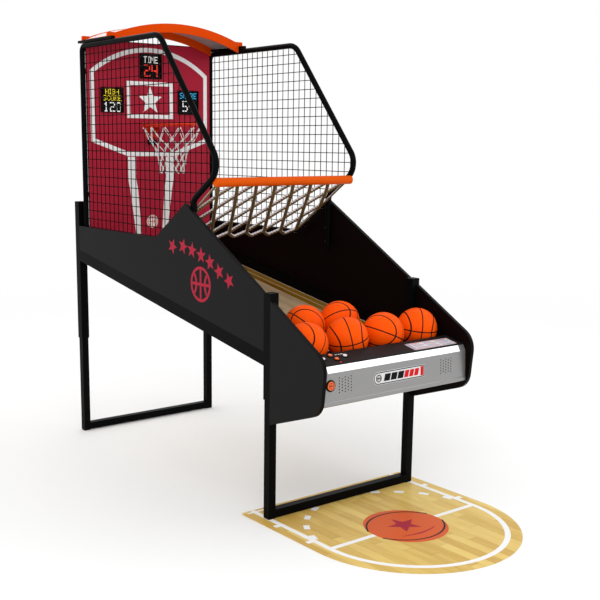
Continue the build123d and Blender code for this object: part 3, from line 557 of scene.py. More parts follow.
def crimsonBoard():
    # printed crimson field on a satin board, with faint roller streaks
    finish = Finish("crimsonBoard", SpecularIORLevel=0.08)
    where = finish.place()
    cover = finish.noise(where, 12, 4, 0.6)
    streaks = finish.noise(finish.place((60, 1, 2)), 3, 3)
    tone = cover * 0.6 + streaks * 0.4
    finish.paint(finish.mix(tone, (0.365, 0.0125, 0.034), (0.445, 0.0175, 0.045)))
    finish.feed("Roughness", cover * 0.16 + 0.4)
    finish.relief(finish.noise(where, 520, 2), 0.1, 0.0004)
    return finish


def makeBackboard(b):
    dress(crimsonBoard(), "backboard")
    low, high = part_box("backboard")

    def onBoard(u, v, lift):
        return (u, low.y - lift, v)

    def onDisc(u, v, lift):
        return onBoard(u, v, lift + b["ink"])

    def shifted(outlines):
        return [[(u + b["drift"], v) for u, v in outline] for outline in outlines]

    half, (bottom, top) = b["squareHalf"], b["squareHeights"]
    lines = shifted(stroke(bar((-half, bottom), (half, top)), b["squareWidth"], True))
    # the arch over the court outline: its radius follows from its width and rise
    side, rise = b["outlineHalf"], b["outlineTop"] - b["outlineCorner"]
    radius = (side ** 2 + rise ** 2) / (2 * rise)
    spread = math.degrees(math.asin(side / radius))
    court = arc((0, b["outlineTop"] - radius), radius, 90 - spread, 90 + spread, 40)
    shoulder, waist = b["lowShoulder"]
    court += [(-side, b["lowCorner"]), (-shoulder, waist), (shoulder, waist), (side, b["lowCorner"])]
    lines += stroke(court, b["outlineWidth"], True)
    lane = b["lane"] + [(u, low.z + v, width) for u, v, width in b["laneFoot"]]
    for way in (-1, 1):
        # straight down, a soft bend inwards, then on to the lower edge
        sweep = [(way * u, v) for u, v, width in lane]
        lines += shifted(stroke(sweep, [width for u, v, width in lane]))
    lines += shifted([star((0, (bottom + top) / 2 - b["starDrop"]), b["starSize"])])
    slot = "board_crimson"
    inked("backboard_lines", lines, onBoard, b["ink"], whiteInk, slot)
    badge = [disc(b["ballPlace"], b["ballSize"])]
    inked("backboard_ball_disc", badge, onBoard, b["ink"], whiteInk, slot)
    seams = ballIcon(b["ballPlace"], b["ballSize"] * 0.9, b["seamWidth"])
    inked("backboard_ball_seams", seams, onDisc, b["ink"], orangeInk, slot)
    edge, margin, gap = b["topBand"]
    band = [bar((low.x + margin, high.z - edge), (high.x - margin, high.z - gap))]
    inked("backboard_top_band", band, onBoard, b["ink"], blackInk, slot)


makeBackboard(boardArt)
print("backboard")

# score displays
glyphs = {
    "T": "##### ..#.. ..#.. ..#.. ..#.. ..#.. ..#..",
    "I": "### .#. .#. .#. .#. .#. ###",
    "M": "#...# ##.## #.#.# #.#.# #...# #...# #...#",
    "E": "##### #.... #.... ####. #.... #.... #####",
    "H": "#...# #...# #...# ##### #...# #...# #...#",
    "G": ".###. #...# #.... #.### #...# #...# .###.",
    "S": ".#### #.... #.... .###. ....# ....# ####.",
    "C": ".###. #...# #.... #.... #.... #...# .###.",
    "O": ".###. #...# #...# #...# #...# #...# .###.",
    "R": "####. #...# #...# ####. #.#.. #..#. #...#",
    "0": ".###. #...# #...# #...# #...# #...# .###.",
    "1": "..#.. .##.. ..#.. ..#.. ..#.. ..#.. .###.",
    "2": "####. ....# ....# .###. #.... #.... #####",
    "4": "#...# #...# #...# ##### ....# ....# ....#",
    "5": "##### #.... #.... ####. ....# ....# ####.",
}
displayArt = {
    # place of the middle in x and z, then lines of (words, width, height, middle above the display's, colour)
    "time": ((0.0, 2.279), [
        ("TIME", 0.104, 0.040, 0.040, "white"),
        ("24", 0.098, 0.074, -0.026, "red"),
    ]),
    "high_score": ((-0.275, 2.067), [
        ("HIGH", 0.094, 0.032, 0.050, "yellow"),
        ("SCORE", 0.128, 0.032, 0.012, "yellow"),
        ("120", 0.122, 0.058, -0.041, "white"),
    ]),
    "score": ((0.275, 2.067), [
        ("SCORE", 0.126, 0.036, 0.042, "cyan"),
        ("54", 0.088, 0.068, -0.024, "white"),
    ]),
    "boardSize": 0.144,
    "boardBack": 0.0026,
    "boardThickness": 0.0012,
    "ledDepth": 0.001,
    "fill": 0.8,
}
# colour and strength of each kind of lamp
lampColours = {
    "white": ((0.95, 0.95, 0.95), 1.0),
    "red": ((1.0, 0.03, 0.01), 1.1),
    "yellow": ((1.0, 0.78, 0.01), 1.0),
    "cyan": ((0.03, 0.5, 0.9), 1.0),
}


def lampFinish(name, colour, strength):
    finish = Finish(name, Roughness=0.3, EmissionStrength=strength)
    glow = finish.noise(finish.place(), 300, 2)
    finish.paint(finish.mix(glow, toned(colour, 0.5), colour))
    finish.feed("Emission Color", finish.mix(glow, toned(colour, 0.85), colour))
    return finish


def ledBoard():
    # a black board with a fine grid of unlit lamps
    finish = Finish("ledBoard", Roughness=0.6, SpecularIORLevel=0.08)
    x, y, z = finish.parts(finish.place())
    lampsPerMetre = 210
    column = abs((x * lampsPerMetre).only("FRACT") - 0.5)
    row = abs((z * lampsPerMetre).only("FRACT") - 0.5)
    lamp = (column < 0.33) * (row < 0.33)
    finish.paint(finish.mix(lamp, (0.0015, 0.0015, 0.0016), (0.006, 0.006, 0.0065)))
    finish.relief(lamp, 0.3, 0.0004)
    return finish


def smokedLens():
    finish = Finish("smokedLens", Roughness=0.06, SpecularIORLevel=0.08)
    dust = finish.noise(finish.place(), 40, 5, 0.7).rise(0.5, 0.8)
    finish.paint(finish.mix(dust, (0.004, 0.004, 0.004), (0.02, 0.02, 0.02)))
    finish.feed("Alpha", dust * 0.04 + 0.12)
    return finish


def blockGrowth():
    tree = Growth("ledBlocks", Width=0.003, Depth=0.001, Height=0.003)
    tree.onPoints(tree.node("GeometryNodeMeshCube", {}, {"Size": tree.extent()}))
    return tree


def litPoints(words, width, height, centre, y):
    # the middle of each lit block, with the block's pitch
    lines = [".".join(rows) for rows in zip(*(glyphs[letter].split() for letter in words))]
    columns = len(lines[0])
    stepX, stepZ = width / columns, height / len(lines)
    points = []
    for row, line in enumerate(lines):
        for column, mark in enumerate(line):
            if mark == "#":
                x = centre[0] - width / 2 + (column + 0.5) * stepX
                points.append((x, y, centre[1] + height / 2 - (row + 0.5) * stepZ))
    return points, stepX, stepZ


def makeDisplays(d):
    dress(smokedLens(), "display_lenses")
    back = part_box("display_housings")[1].y
    lit = {colour: lampFinish(colour + "Lamps", *look) for colour, look in lampColours.items()}
    board, tree = ledBoard(), blockGrowth()
    rear = back - d["boardBack"]
    lampPlace = rear - d["boardThickness"] - d["ledDepth"] * 0.4
    half = d["boardSize"] / 2

    def onRear(u, v, lift):
        return (u, rear - lift, v)

    for name in ("time", "high_score", "score"):
        centre, lines = d[name]
        square = bar((centre[0] - half, centre[1] - half), (centre[0] + half, centre[1] + half))
        inked(name + "_led_board", [square], onRear, d["boardThickness"], board, "plastic_black")
        for number, (words, width, height, above, colour) in enumerate(lines, 1):
            points, stepX, stepZ = litPoints(words, width, height, (centre[0], centre[1] + above), lampPlace)
            sizes = {"Width": stepX * d["fill"], "Depth": d["ledDepth"], "Height": stepZ * d["fill"]}
            lamps = tree.grow(f"{name}_lamps_{number}", points, [], lit[colour], **sizes)
            lamps.data.polygons.foreach_set("use_smooth", [False] * len(lamps.data.polygons))
            ridden(lamps, "root", "display_lens")


makeDisplays(displayArt)
print("displays")

# ropes: hoop net and guard net
def ropeGrowth():
    # twisted strands swept along each line of a mesh
    sizes = {"Radius": 0.003, "Step": 0.004, "Lay": 0.03, "Bend": 0.008, "Lobe": 0.1}
    tree = Growth("twistedRope", **sizes, Strands=3, Facets=10)
    line = tree.node("GeometryNodeMeshToCurve", {}, {"Mesh": tree.size("Geometry")})
    corners = {"Curve": line, "Radius": tree.size("Bend"), "Limit Radius": True, "Count": 4}
    bent = tree.node("GeometryNodeFilletCurve", {"mode": "POLY"}, corners)
    pitch = {"Curve": bent, "Length": tree.size("Step")}
    even = tree.node("GeometryNodeResampleCurve", {"mode": "LENGTH"}, pitch)
    steady = tree.node("GeometryNodeSetCurveNormal", {"mode": "MINIMUM_TWIST"}, {"Curve": even})
    along = tree.node("GeometryNodeSplineParameter", {}, {}, "Length")
    tilt = along / tree.size("Lay") * (2 * math.pi)
    turned = tree.node("GeometryNodeSetCurveTilt", {}, {"Curve": steady, "Tilt": tilt})
    ring = tree.node("GeometryNodeCurvePrimitiveCircle", {"mode": "RADIUS"},
                     {"Resolution": tree.size("Facets"), "Radius": tree.size("Radius")})
    spot = tree.node("GeometryNodeInputPosition", {}, {})
    split = tree.tree.nodes.new("ShaderNodeSeparateXYZ")
    tree.tree.links.new(spot.socket, split.inputs[0])
    across, upward = Signal(tree, split.outputs[0]), Signal(tree, split.outputs[1])
    swell = (upward.maths("ARCTAN2", upward, across) * tree.size("Strands"))
    swell = swell.only("COSINE") * tree.size("Lobe")
    offset = tree.node("ShaderNodeVectorMath", {"operation": "SCALE"}, {0: spot, "Scale": swell})
    section = tree.node("GeometryNodeSetPosition", {}, {"Geometry": ring, "Offset": offset})
    swept = {"Curve": turned, "Profile Curve": section, "Fill Caps": True}
    tree.close(tree.node("GeometryNodeCurveToMesh", {}, swept))
    return tree


def beadGrowth():
    tree = Growth("beads", Width=0.006, Depth=0.006, Height=0.006, Rings=6, Segments=10)
    rounds = {"Segments": tree.size("Segments"), "Rings": tree.size("Rings"), "Radius": 0.5}
    tree.onPoints(tree.node("GeometryNodeMeshUVSphere", {}, rounds), Scale=tree.extent())
    return tree


def chained(paths):
    points, edges = [], []
    for path in paths:
        start = len(points)
        points += [tuple(p) for p in path]
        edges += [(start + i, start + i + 1) for i in range(len(path) - 1)]
    return points, edges


def cordFinish(name, light, dark, shade, bumpScale=1400):
    # spun fibre: light above, and darker underneath, a painted shade on the faces that look down
    finish = Finish(name, SpecularIORLevel=0.2, SheenWeight=0.15)
    where = finish.place()
    fibres = finish.noise(where, bumpScale, 3, 0.6)
    shadeBreakup = finish.noise(where, 22, 4)
    # painted shade: faces that look down get the dark colour, with noise breaking up its edge; shade sets how
    # far it goes
    paintedUnderShade = (finish.upward() * -1 + shadeBreakup * 0.3).rise(-0.12, 0.42) * shade
    finish.paint(finish.mix(paintedUnderShade, light, dark))
    finish.feed("Roughness", fibres * 0.2 + 0.7)
    finish.relief(fibres, 0.5, 0.0005)
    return finish


ropes = ropeGrowth()
beads = beadGrowth()
hoopCord = {
    "rodRadius": 0.008,
    "hooks": 12,
    "startHeight": 1.9045,
    # distance from the hoop's axis and height of each row of knots
    "rows": [
        (0.1415, 1.834),
        (0.119, 1.798),
        (0.096, 1.761),
        (0.087, 1.724),
        (0.081, 1.690),
        (0.077, 1.656),
        (0.0745, 1.6235),
    ],
    "rope": {"Radius": 0.0023, "Step": 0.004, "Lay": 0.014, "Bend": 0.006},
    "firstKnot": 0.006,      # below the hook
    "weave": 0.0012,
    "knot": (0.0098, 0.0098, 0.0082),
}


def makeHoopNet(n):
    # the second colour is the painted shade under the hoop net's cords
    finish = cordFinish("whiteNylonCord", (0.88, 0.88, 0.87), (0.7, 0.7, 0.7), 0.5)
    low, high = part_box("rim")
    centre = Vector(((low.x + high.x) / 2, low.y + (high.x - low.x) / 2, 0))
    rimRadius = (high.x - low.x) / 2 - n["rodRadius"]
    rows = [(rimRadius, n["startHeight"]), *n["rows"]]
    spread = math.pi / n["hooks"]

    def at(angle, row, lift=0.0):
        radius, height = rows[row]
        around = Vector((math.cos(angle), math.sin(angle), 0)) * (radius + lift)
        return centre + around + Vector((0, 0, height))

    paths, knots = [], []
    for hook in range(n["hooks"]):
        start = 2 * math.pi * (hook + 0.5) / n["hooks"]
        down = [at(start + row * spread, row, n["weave"] if row else 0) for row in range(len(rows))]
        upper = len(rows) - 1
        # back up on the inside, further round the hoop
        up = [at(start + (2 * upper - row) * spread, row, -n["weave"] if row else 0) for row in range(upper)]
        paths.append(down + up[::-1])
        knots += [at(start + (row % 2) * spread, row) for row in range(1, upper)]
        knots.append(at(start, 0) - Vector((0, 0, n["firstKnot"])))
    points, edges = chained(paths)
    net = ropes.grow("hoop_net_cords", points, edges, finish, **n["rope"])
    width, depth, height = n["knot"]
    ties = beads.grow("hoop_net_knots", knots, [], finish, Width=width, Depth=depth, Height=height)
    ridden(net, "root", "net_white", "hoop_net")
    ridden(ties, "root", "net_white")


makeHoopNet(hoopCord)
guardRope = {
    "rope": {"Radius": 0.0096, "Step": 0.006, "Lay": 0.05, "Bend": 0.014, "Facets": 12},
    "borderCord": {"Radius": 0.0065, "Step": 0.006, "Lay": 0.04, "Facets": 12},
    "diamond": 0.1225,
    "across": 7,
    # distances down the slope from the bar's middle
    "rows": [0.021, 0.140, 0.271, 0.402, 0.533, 0.580],
    "layer": 0.0046,
    "borderInset": 0.0085,
    "endInset": (0.0063, 0.0091),
}


def makeGuardNet(g):
    # the second colour is the painted shade under the guard ropes
    finish = cordFinish("guardRope", (0.78, 0.72, 0.745), (0.17, 0.088, 0.009), 1.0, 900)
    barMiddle = middle("front_bar")
    low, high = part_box("guard_net")
    end = Vector((0, high.y - g["endInset"][0], low.z + g["endInset"][1]))
    slope = (end - Vector((0, barMiddle.y, barMiddle.z))).normalized()
    upward = Vector((0, -slope.z, slope.y))

    def onNet(x, s, lift):
        return Vector((x, barMiddle.y, barMiddle.z)) + slope * s + upward * lift

    limit = g["across"] / 2 * g["diamond"]
    last = len(g["rows"]) - 1

    def climb(tip, way):
        # from a tip at the lower edge up to the bar, turning back at the sides
        x, path = tip, []
        for row in range(last - 1, -1, -1):
            x += way * g["diamond"] / 2
            path.append(onNet(x, g["rows"][row], way * g["layer"]))
            if abs(x) > limit - 0.01:
                way = -way
        return path

    paths = []
    for step in range(g["across"]):
        tip = (step - (g["across"] - 1) / 2) * g["diamond"]
        paths.append(list(reversed(climb(tip, -1))) + [onNet(tip, g["rows"][last], 0)] + climb(tip, 1))
    points, edges = chained(paths)
    net = ropes.grow("guard_net_ropes", points, edges, finish, **g["rope"])
    ridden(net, "root", "rope_tan", "guard_net")
    side = high.x - g["borderInset"]
    borders = [[onNet(way * side, s, 0) for s in g["rows"][0:5:2]] for way in (-1, 1)]
    points, edges = chained(borders)
    cords = ropes.grow("guard_net_border_cords", points, edges, finish, **g["borderCord"])
    ridden(cords, "root", "rope_tan")


makeGuardNet(guardRope)
print("nets")

# cage mesh: a weld at every crossing
weld = {"width": 0.006, "depth": 0.007, "height": 0.006, "wireGap": 0.01}


def grouped(values, gap):
    # sorted numbers split wherever the step is larger than gap
    groups = [[values[0]]]
    for value in values[1:]:
        if value[0] - groups[-1][-1][0] > gap:
            groups.append([])
        groups[-1].append(value)
    return groups


def makeWelds(w):
    for side in ("left", "right"):
        co = [v.co for v in cadNodes[side + "_cage_mesh"].data.vertices]
        split = (min(abs(c.x) for c in co) + max(abs(c.x) for c in co)) / 2
        uprights = grouped(sorted((c.y, c.z) for c in co if abs(c.x) > split), w["wireGap"])
        levels = grouped(sorted((c.z, c.y) for c in co if abs(c.x) < split), w["wireGap"])
        x = math.copysign(split, middle(side + "_cage_mesh").x)
        points = []
        for upright in uprights:
            y = sum(p[0] for p in upright) / len(upright)
            bottom, top = min(p[1] for p in upright), max(p[1] for p in upright)
            for level in levels:
                z = sum(p[0] for p in level) / len(level)
                near, far = min(p[1] for p in level), max(p[1] for p in level)
                if bottom < z < top and near < y < far:
                    points.append((x, y, z))
        sizes = {"Width": w["depth"], "Depth": w["width"], "Height": w["height"], "Rings": 4, "Segments": 6}
        welds = beads.grow(side + "_cage_welds", points, [], meshCoat, **sizes)
        ridden(welds, "root", "mesh_black")


makeWelds(weld)
print("cage welds")

# balls
ballMake = {
    "cells": 64,
    "groove": 0.0034,
    "grooveDepth": 0.0016,
    "seamStart": 0.52,
    "seamSpread": 0.34,
    # turns of each ball in degrees
    "turns": {"ball_1": (20, 35, 10), "ball_2": (8, -12, -28), "ball_3": (12, 20, 25), "ball_4": (2, 6, -30),
              "ball_5": (40, 10, 65), "ball_6": (-35, 25, 20)},
}


def ballRubber(b):
    # pebbled rubber with smooth black channels, and painted shade between the pebbles
    finish = Finish("pebbledRubber", SpecularIORLevel=0.06)
    spot = finish.attribute("ballSpot")
    x, y, z = finish.parts(spot)
    curved = abs(abs(x) - z * z * b["seamSpread"] - b["seamStart"]) * 0.84
    seam = abs(x).least(abs(z)).least(curved) * 0.105
    channel = 1 - seam.rise(b["groove"] * 0.75, b["groove"] * 1.0)
    pebbles = finish.cells(spot, 62.0)
    tone = finish.noise(spot, 2.4, 4)
    worn = finish.mix(tone, (1.0, 0.084, 0.0), (1.0, 0.112, 0.0))
    # painted shade: the gaps between pebbles are darkened to a deeper red
    pebbleGapShaded = finish.mix(pebbles.rise(0.25, 0.7) * 0.35, worn, (0.72, 0.03, 0.0))
    finish.paint(finish.mix(channel, pebbleGapShaded, (0.008, 0.007, 0.007)))
    finish.feed("Roughness", tone * 0.1 + channel * 0.1 + 0.4)
    finish.relief((1 - pebbles) * (1 - channel), 0.45, 0.0009)
    return finish


def seamDistance(p, b):
    curved = abs(abs(p.x) - p.z ** 2 * b["seamSpread"] - b["seamStart"]) * 0.84
    return min(abs(p.x), abs(p.z), curved)


def makeBalls(b):
    finish = ballRubber(b)
    cells = b["cells"]
    shape = bmesh.new()
    bmesh.ops.create_grid(shape, x_segments=cells, y_segments=cells, size=1)
    flat = bpy.data.meshes.new("ballFace")
    shape.to_mesh(flat)
    shape.free()
    whole = bmesh.new()
    quarter = math.pi / 2
    turns = [Euler((0, 0, 0)), Euler((math.pi, 0, 0))]
    turns += [Euler((quarter, 0, quarter * side)) for side in range(4)]
    for turn in turns:
        first = len(whole.verts)
        whole.from_mesh(flat)
        whole.verts.ensure_lookup_table()
        for vert in whole.verts[first:]:
            u, v = math.tan(vert.co.x * math.pi / 4), math.tan(vert.co.y * math.pi / 4)
            vert.co = (turn.to_matrix() @ Vector((u, v, 1))).normalized()
    bmesh.ops.remove_doubles(whole, verts=whole.verts, dist=1e-4)
    bmesh.ops.recalc_face_normals(whole, faces=whole.faces)
    plain = bpy.data.meshes.new("plainBall")
    whole.to_mesh(plain)
    whole.free()
    spots = [v.co.copy() for v in plain.vertices]
    for name, turn in b["turns"].items():
        low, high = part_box(name)
        centre, radius = (low + high) / 2, (high.x - low.x) / 2
        rotation = Euler([math.radians(a) for a in turn]).to_matrix()
        mesh = plain.copy()
        attribute = mesh.attributes.new("ballSpot", "FLOAT_VECTOR", "POINT")
        for vert, spot in zip(mesh.vertices, spots):
            away = seamDistance(spot, b) * radius / b["groove"]
            dip = b["grooveDepth"] * max(0.0, 1 - away ** 2) if away < 1 else 0.0
            vert.co = centre + rotation @ spot * (radius - dip)
            attribute.data[vert.index].vector = spot
        mesh.polygons.foreach_set("use_smooth", [True] * len(mesh.polygons))
        ridden(shown("pebbled_" + name, mesh, finish), name, "ball_orange", name)


makeBalls(ballMake)
print("balls")

# roof sheet, lenses, lamps and small plastics
def smokeSheet():
    # thin twin-wall sheet with faint ribs: orange on top and smoky underneath
    finish = Finish("smokeRoofSheet", Roughness=0.22, SpecularIORLevel=0.4)
    x, y, z = finish.parts(finish.place())
    ribs = (x * 520).only("SINE") * 0.5 + 0.5
    haze = finish.noise(finish.place((1, 0.3, 1)), 6, 4, 0.6)
    smoke = finish.mix(haze, (0.27, 0.27, 0.28), (0.4, 0.4, 0.41))
    orange = finish.mix(haze, (0.62, 0.048, 0.0), (0.74, 0.064, 0.0))
    finish.paint(finish.mix(finish.upward().rise(-0.05, 0.05), smoke, orange))
    finish.feed("Alpha", haze * 0.08 + 0.86 + ribs * 0.04)
    finish.relief(ribs, 0.25, 0.0008)
    return finish


def frostedStrip():
    # milky acrylic lit from inside
    finish = Finish("frostedLightStrip", Roughness=0.3, EmissionStrength=0.35)
    cloud = finish.noise(finish.place(), 14, 3)
    finish.paint(finish.mix(cloud, (0.86, 0.86, 0.86), (0.95, 0.95, 0.95)))
    finish.feed("Emission Color", finish.mix(cloud, (0.9, 0.9, 0.9), (1.0, 1.0, 1.0)))
    finish.relief(finish.noise(finish.place(), 500, 2), 0.06, 0.0003)
    return finish


def glossyCap(name, colour, glow=0.0):
    finish = Finish(name, CoatWeight=0.4, CoatRoughness=0.08, EmissionStrength=glow)
    swirl = finish.noise(finish.place(), 70, 3)
    finish.paint(finish.mix(swirl, toned(colour, 0.88), toned(colour, 1.08)))
    finish.feed("Emission Color", finish.mix(swirl, toned(colour, 0.9), colour))
    finish.feed("Roughness", swirl * 0.12 + 0.2)
    finish.relief(finish.noise(finish.place(), 900, 2), 0.05, 0.0003)
    return finish


plateInk = screenInk("plateSilver", (0.68, 0.68, 0.69), 0.3)
cardPaper = screenInk("cardPaper", (0.66, 0.67, 0.7), 0.35)
orangeCap = glossyCap("orangeCap", (0.82, 0.12, 0.008), 0.1)
whiteCap = glossyCap("whiteCap", (0.85, 0.85, 0.85), 0.1)

dress(smokeSheet(), "roof_sheet")
dress(frostedStrip(), "console_light_strip")
dress(blackPlastic, "console_back", "ball_trough")
dress(plateInk, "name_plate")
dress(cardPaper, "instruction_card")
dress(orangeCap, "upper_button", "lower_button", "start_button")
dress(whiteCap, "left_button", "right_button")
dress(glossyCap("redLed", (0.8, 0.01, 0.01), 0.6), "status_led")


def onPlate(node):
    # place(u, v, lift) on the broadest face of a flat node that looks at the player, from its middle
    shape = cadNodes[node].data
    broad = {}
    for polygon in shape.polygons:
        facing = tuple(round(n, 2) for n in polygon.normal)
        broad.setdefault(facing, [0.0, polygon.normal.copy(), shape.vertices[polygon.vertices[0]].co.copy()])
        broad[facing][0] += polygon.area
    out, point = max(broad.values(), key=lambda face: face[0] * (face[1].z - face[1].y))[1:]
    centre = middle(node)
    centre += out * (point - centre).dot(out)
    across = Vector((1, 0, 0))
    up = out.cross(across)

    def place(u, v, lift):
        return centre + across * u + up * v + out * lift

    return place


def leaned(low, high, lean):
    # a bar whose top leans over to the right
    corners = bar(low, high)
    return corners[:2] + [(u + lean, v) for u, v in corners[2:]]


consoleArt = {
    "ink": 0.0003,
    "outline": 0.0042,
    "redEnd": 0.024,
    "barHeight": 0.034,
    "barLean": 0.009,
    "bars": [(0.038, 3), (0.027, 3)],      # width and number of the black and of the red bars
    "barGap": 0.0065,
    "barsStart": -0.104,
    "iconPlace": -0.136,
    "iconSize": 0.0185,
    "iconLine": 0.0036,
    # on the card, from its left edge: the heading column, then columns of marks of chance length
    "cardLines": 7,
    "cardSpread": 0.74,
    "heading": (0.006, 0.021),
    "headingHeight": (0.0018, 0.0022),
    "columns": 3,
    "columnStart": 0.03,
    "markLength": (0.05, 0.088),
    "markHalf": 0.0011,
    "cardMargin": 0.003,
    "cardBorder": 0.0016,
    "startIcon": 0.0155,
    "startLine": 0.0017,
    # small marks on the console top: left end and length
    "labelBars": [(-0.3, 0.012), (-0.282, 0.009), (-0.268, 0.016)],
    "labelShift": 0.006,
    "labelHalf": 0.0022,
}


def makeConsolePrint(c):
    onName = onPlate("name_plate")
    low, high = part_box("name_plate")
    half, tall = (high.x - low.x) / 2, (high.z - low.z) / 2
    inset = c["outline"]
    edge = arc((-half + tall, 0), tall - inset, 90, 270, 24)
    edge += [(half - inset, -tall + inset), (half - inset, tall - inset)]
    inked("name_plate_outline", stroke(edge, c["outline"], True), onName, c["ink"], blackInk, "name_plate")
    end = [bar((half - inset - c["redEnd"], -tall + 2 * inset), (half - 2 * inset, tall - 2 * inset))]
    x, height = c["barsStart"], c["barHeight"] / 2
    black, red = [], end
    for shapes, (width, count) in ((black, c["bars"][0]), (red, c["bars"][1])):
        for step in range(count):
            shapes.append(leaned((x, -height), (x + width, height), c["barLean"]))
            x += width + c["barGap"]
    black += ballIcon((c["iconPlace"], 0), c["iconSize"], c["iconLine"])
    inked("name_plate_black_marks", black, onName, c["ink"], blackInk, "name_plate")
    inked("name_plate_red_marks", red, onName, c["ink"], redInk, "name_plate")

    # the card: a blue heading column, then rows of short marks
    onCard = onPlate("instruction_card")
    low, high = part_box("instruction_card")
    half, tall = (high.x - low.x) / 2, (high.y - low.y) / 2
    dice = random.Random(4)
    start, stop = c["heading"]
    below, above = c["headingHeight"]
    colours = {"blue": [], "red": [], "grey": []}
    for row in range(c["cardLines"]):
        v = tall * c["cardSpread"] * (1 - 2 * row / (c["cardLines"] - 1))
        colours["blue"].append(bar((-half + start, v - below), (-half + stop, v + above)))
        for column in range(c["columns"]):
            u = -half + c["columnStart"] + column * (2 * half - c["columnStart"] - start) / c["columns"]
            reach = dice.uniform(*c["markLength"])
            label = ("red", "grey", "blue")[(row + column) % 3]
            colours[label].append(bar((u, v - c["markHalf"]), (u + reach, v + c["markHalf"])))
    margin = c["cardMargin"]
    border = bar((-half + margin, -tall + margin), (half - margin, tall - margin))
    colours["red"] += stroke(border, c["cardBorder"], True)
    for (label, shapes), ink in zip(colours.items(), (blueInk, redInk, greyInk)):
        inked(f"card_{label}_marks", shapes, onCard, c["ink"], ink, "card_print")

    # small marks beside the buttons, on the console top
    onTop = onPlate("console_top")
    origin = middle("console_top")
    upper = middle("upper_button")
    marks = []
    for x, width in c["labelBars"]:
        u, v = x - origin.x, upper.y - origin.y + c["labelShift"]
        marks.append(bar((u, v - c["labelHalf"]), (u + width, v + c["labelHalf"])))
    inked("console_top_marks", marks, onTop, c["ink"], whiteInk, "plastic_black")

    # the start button carries a small ball
    onStart = onPlate("start_button")
    icon = ballIcon((0, 0), c["startIcon"], c["startLine"])
    inked("start_button_print", icon, onStart, c["ink"], blackInk, "cap_orange", "start_button")


makeConsolePrint(consoleArt)
print("console")


# ramp and mat: printed wood
def stripFloor(name, light, dark, seam, width, length, bands=None):
    # narrow boards along Y, each with its own tone and grain
    finish = Finish(name, SpecularIORLevel=0.12, CoatWeight=0.03, CoatRoughness=0.2)
    x, y, z = finish.parts(finish.place())
    column = (x / width).only("FLOOR")
    stagger = finish.node("ShaderNodeTexWhiteNoise", {"noise_dimensions": "1D"}, {"W": column})
    along = y / length + stagger * 7
    row = along.only("FLOOR")
    cell = finish.node("ShaderNodeCombineXYZ", {}, {0: column, 1: row, 2: 0.5})
    board = finish.node("ShaderNodeTexWhiteNoise", {"noise_dimensions": "3D"}, {"Vector": cell})
    grain = finish.noise(finish.place((38, 1.6, 10)), 6, 5, 0.62, 0.6)
    figure = finish.noise(finish.place((5, 0.9, 1)), 3, 3, 0.5, 1.2)
    tone = board * 0.36 + grain * 0.34 + figure * 0.42
    colour = finish.mix(tone.rise(0.3, 0.82), light, dark)
    if bands:
        low, high, bandLight, bandDark = bands
        inBand = abs(x).rise(low - 0.002, low + 0.002) * (1 - abs(x).rise(high - 0.002, high + 0.002))
        colour = finish.mix(inBand, colour, finish.mix(tone.rise(0.3, 0.82), bandLight, bandDark))
    side = abs((x / width).only("FRACT") - 0.5).rise(0.482, 0.497)
    butt = abs(along.only("FRACT") - 0.5).rise(0.4975, 0.4995)
    joint = side.most(butt)
    finish.paint(finish.mix(joint * 0.6, colour, seam))
    finish.feed("Roughness", grain * 0.14 + joint * 0.1 + 0.34)
    finish.relief((1 - joint) * 0.8 + grain * 0.2, 0.2, 0.0006)
    return finish


rampArt = {
    "ink": 0.0003,
    "bands": (0.335, 0.452),
    "lines": [(0.452, 0.012), (0.393, 0.008), (0.335, 0.005)],     # distance from the middle and width
    "boardWidth": 0.028,
    "boardLength": 0.7,
}
paleInk = screenInk("paleLineInk", (0.55, 0.43, 0.31))


def makeRampPrint(r):
    pale, paleDark = (0.52, 0.39, 0.235), (0.4, 0.275, 0.16)
    gold, goldDark = (0.3, 0.155, 0.008), (0.19, 0.075, 0.002)
    boards, bands = (r["boardWidth"], r["boardLength"]), (*r["bands"], gold, goldDark)
    wood = stripFloor("printedRampWood", pale, paleDark, (0.24, 0.15, 0.06), *boards, bands)
    dress(wood, "ramp_board")
    low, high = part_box("ramp_board")
    co = [v.co for v in cadNodes["ramp_board"].data.vertices]
    front = max(c.z for c in co if c.y < low.y + 0.001)
    rear = max(c.z for c in co if c.y > high.y - 0.001)

    def onRamp(u, v, lift):
        return (u, v, front + (rear - front) * (v - low.y) / (high.y - low.y) + lift)

    lines = []
    for place, width in r["lines"]:
        for way in (-1, 1):
            middleX = way * place
            lines.append(bar((middleX - width / 2, low.y + 0.002), (middleX + width / 2, high.y - 0.002)))
    inked("ramp_lines", lines, onRamp, r["ink"], paleInk, "ramp_print")


makeRampPrint(rampArt)
matArt = {
    "ink": 0.0003,
    "lineWidth": 0.027,
    "lineInset": 0.068,
    "tickReach": 0.522,
    "ticks": [-0.082, -0.325],
    "tickWidth": 0.026,
    "rearTick": (0.032, 0.018),         # its edges, from the rear edge of the mat
    "rearTickInside": 0.055,
    "dashAngles": [18, 33.5, 49, 64.5, 80],
    "dashLength": 0.052,
    "dashWidth": 0.03,
    "ballInk": 0.00048,       # heights of the ball and of the marks on it, above the mat
    "markInk": 0.00066,
    "ballRadius": 0.205,
    "seamInset": 0.033,
    "seamEnd": 14,
    "seamWidth": 0.009,
    "starSize": 0.088,
    "starShift": 0.012,
    "crescent": (0.21, 0.318, 20),      # how far its centre is above the ball's, radius, half angle
    "boardWidth": 0.057,
    "boardLength": 0.62,
}


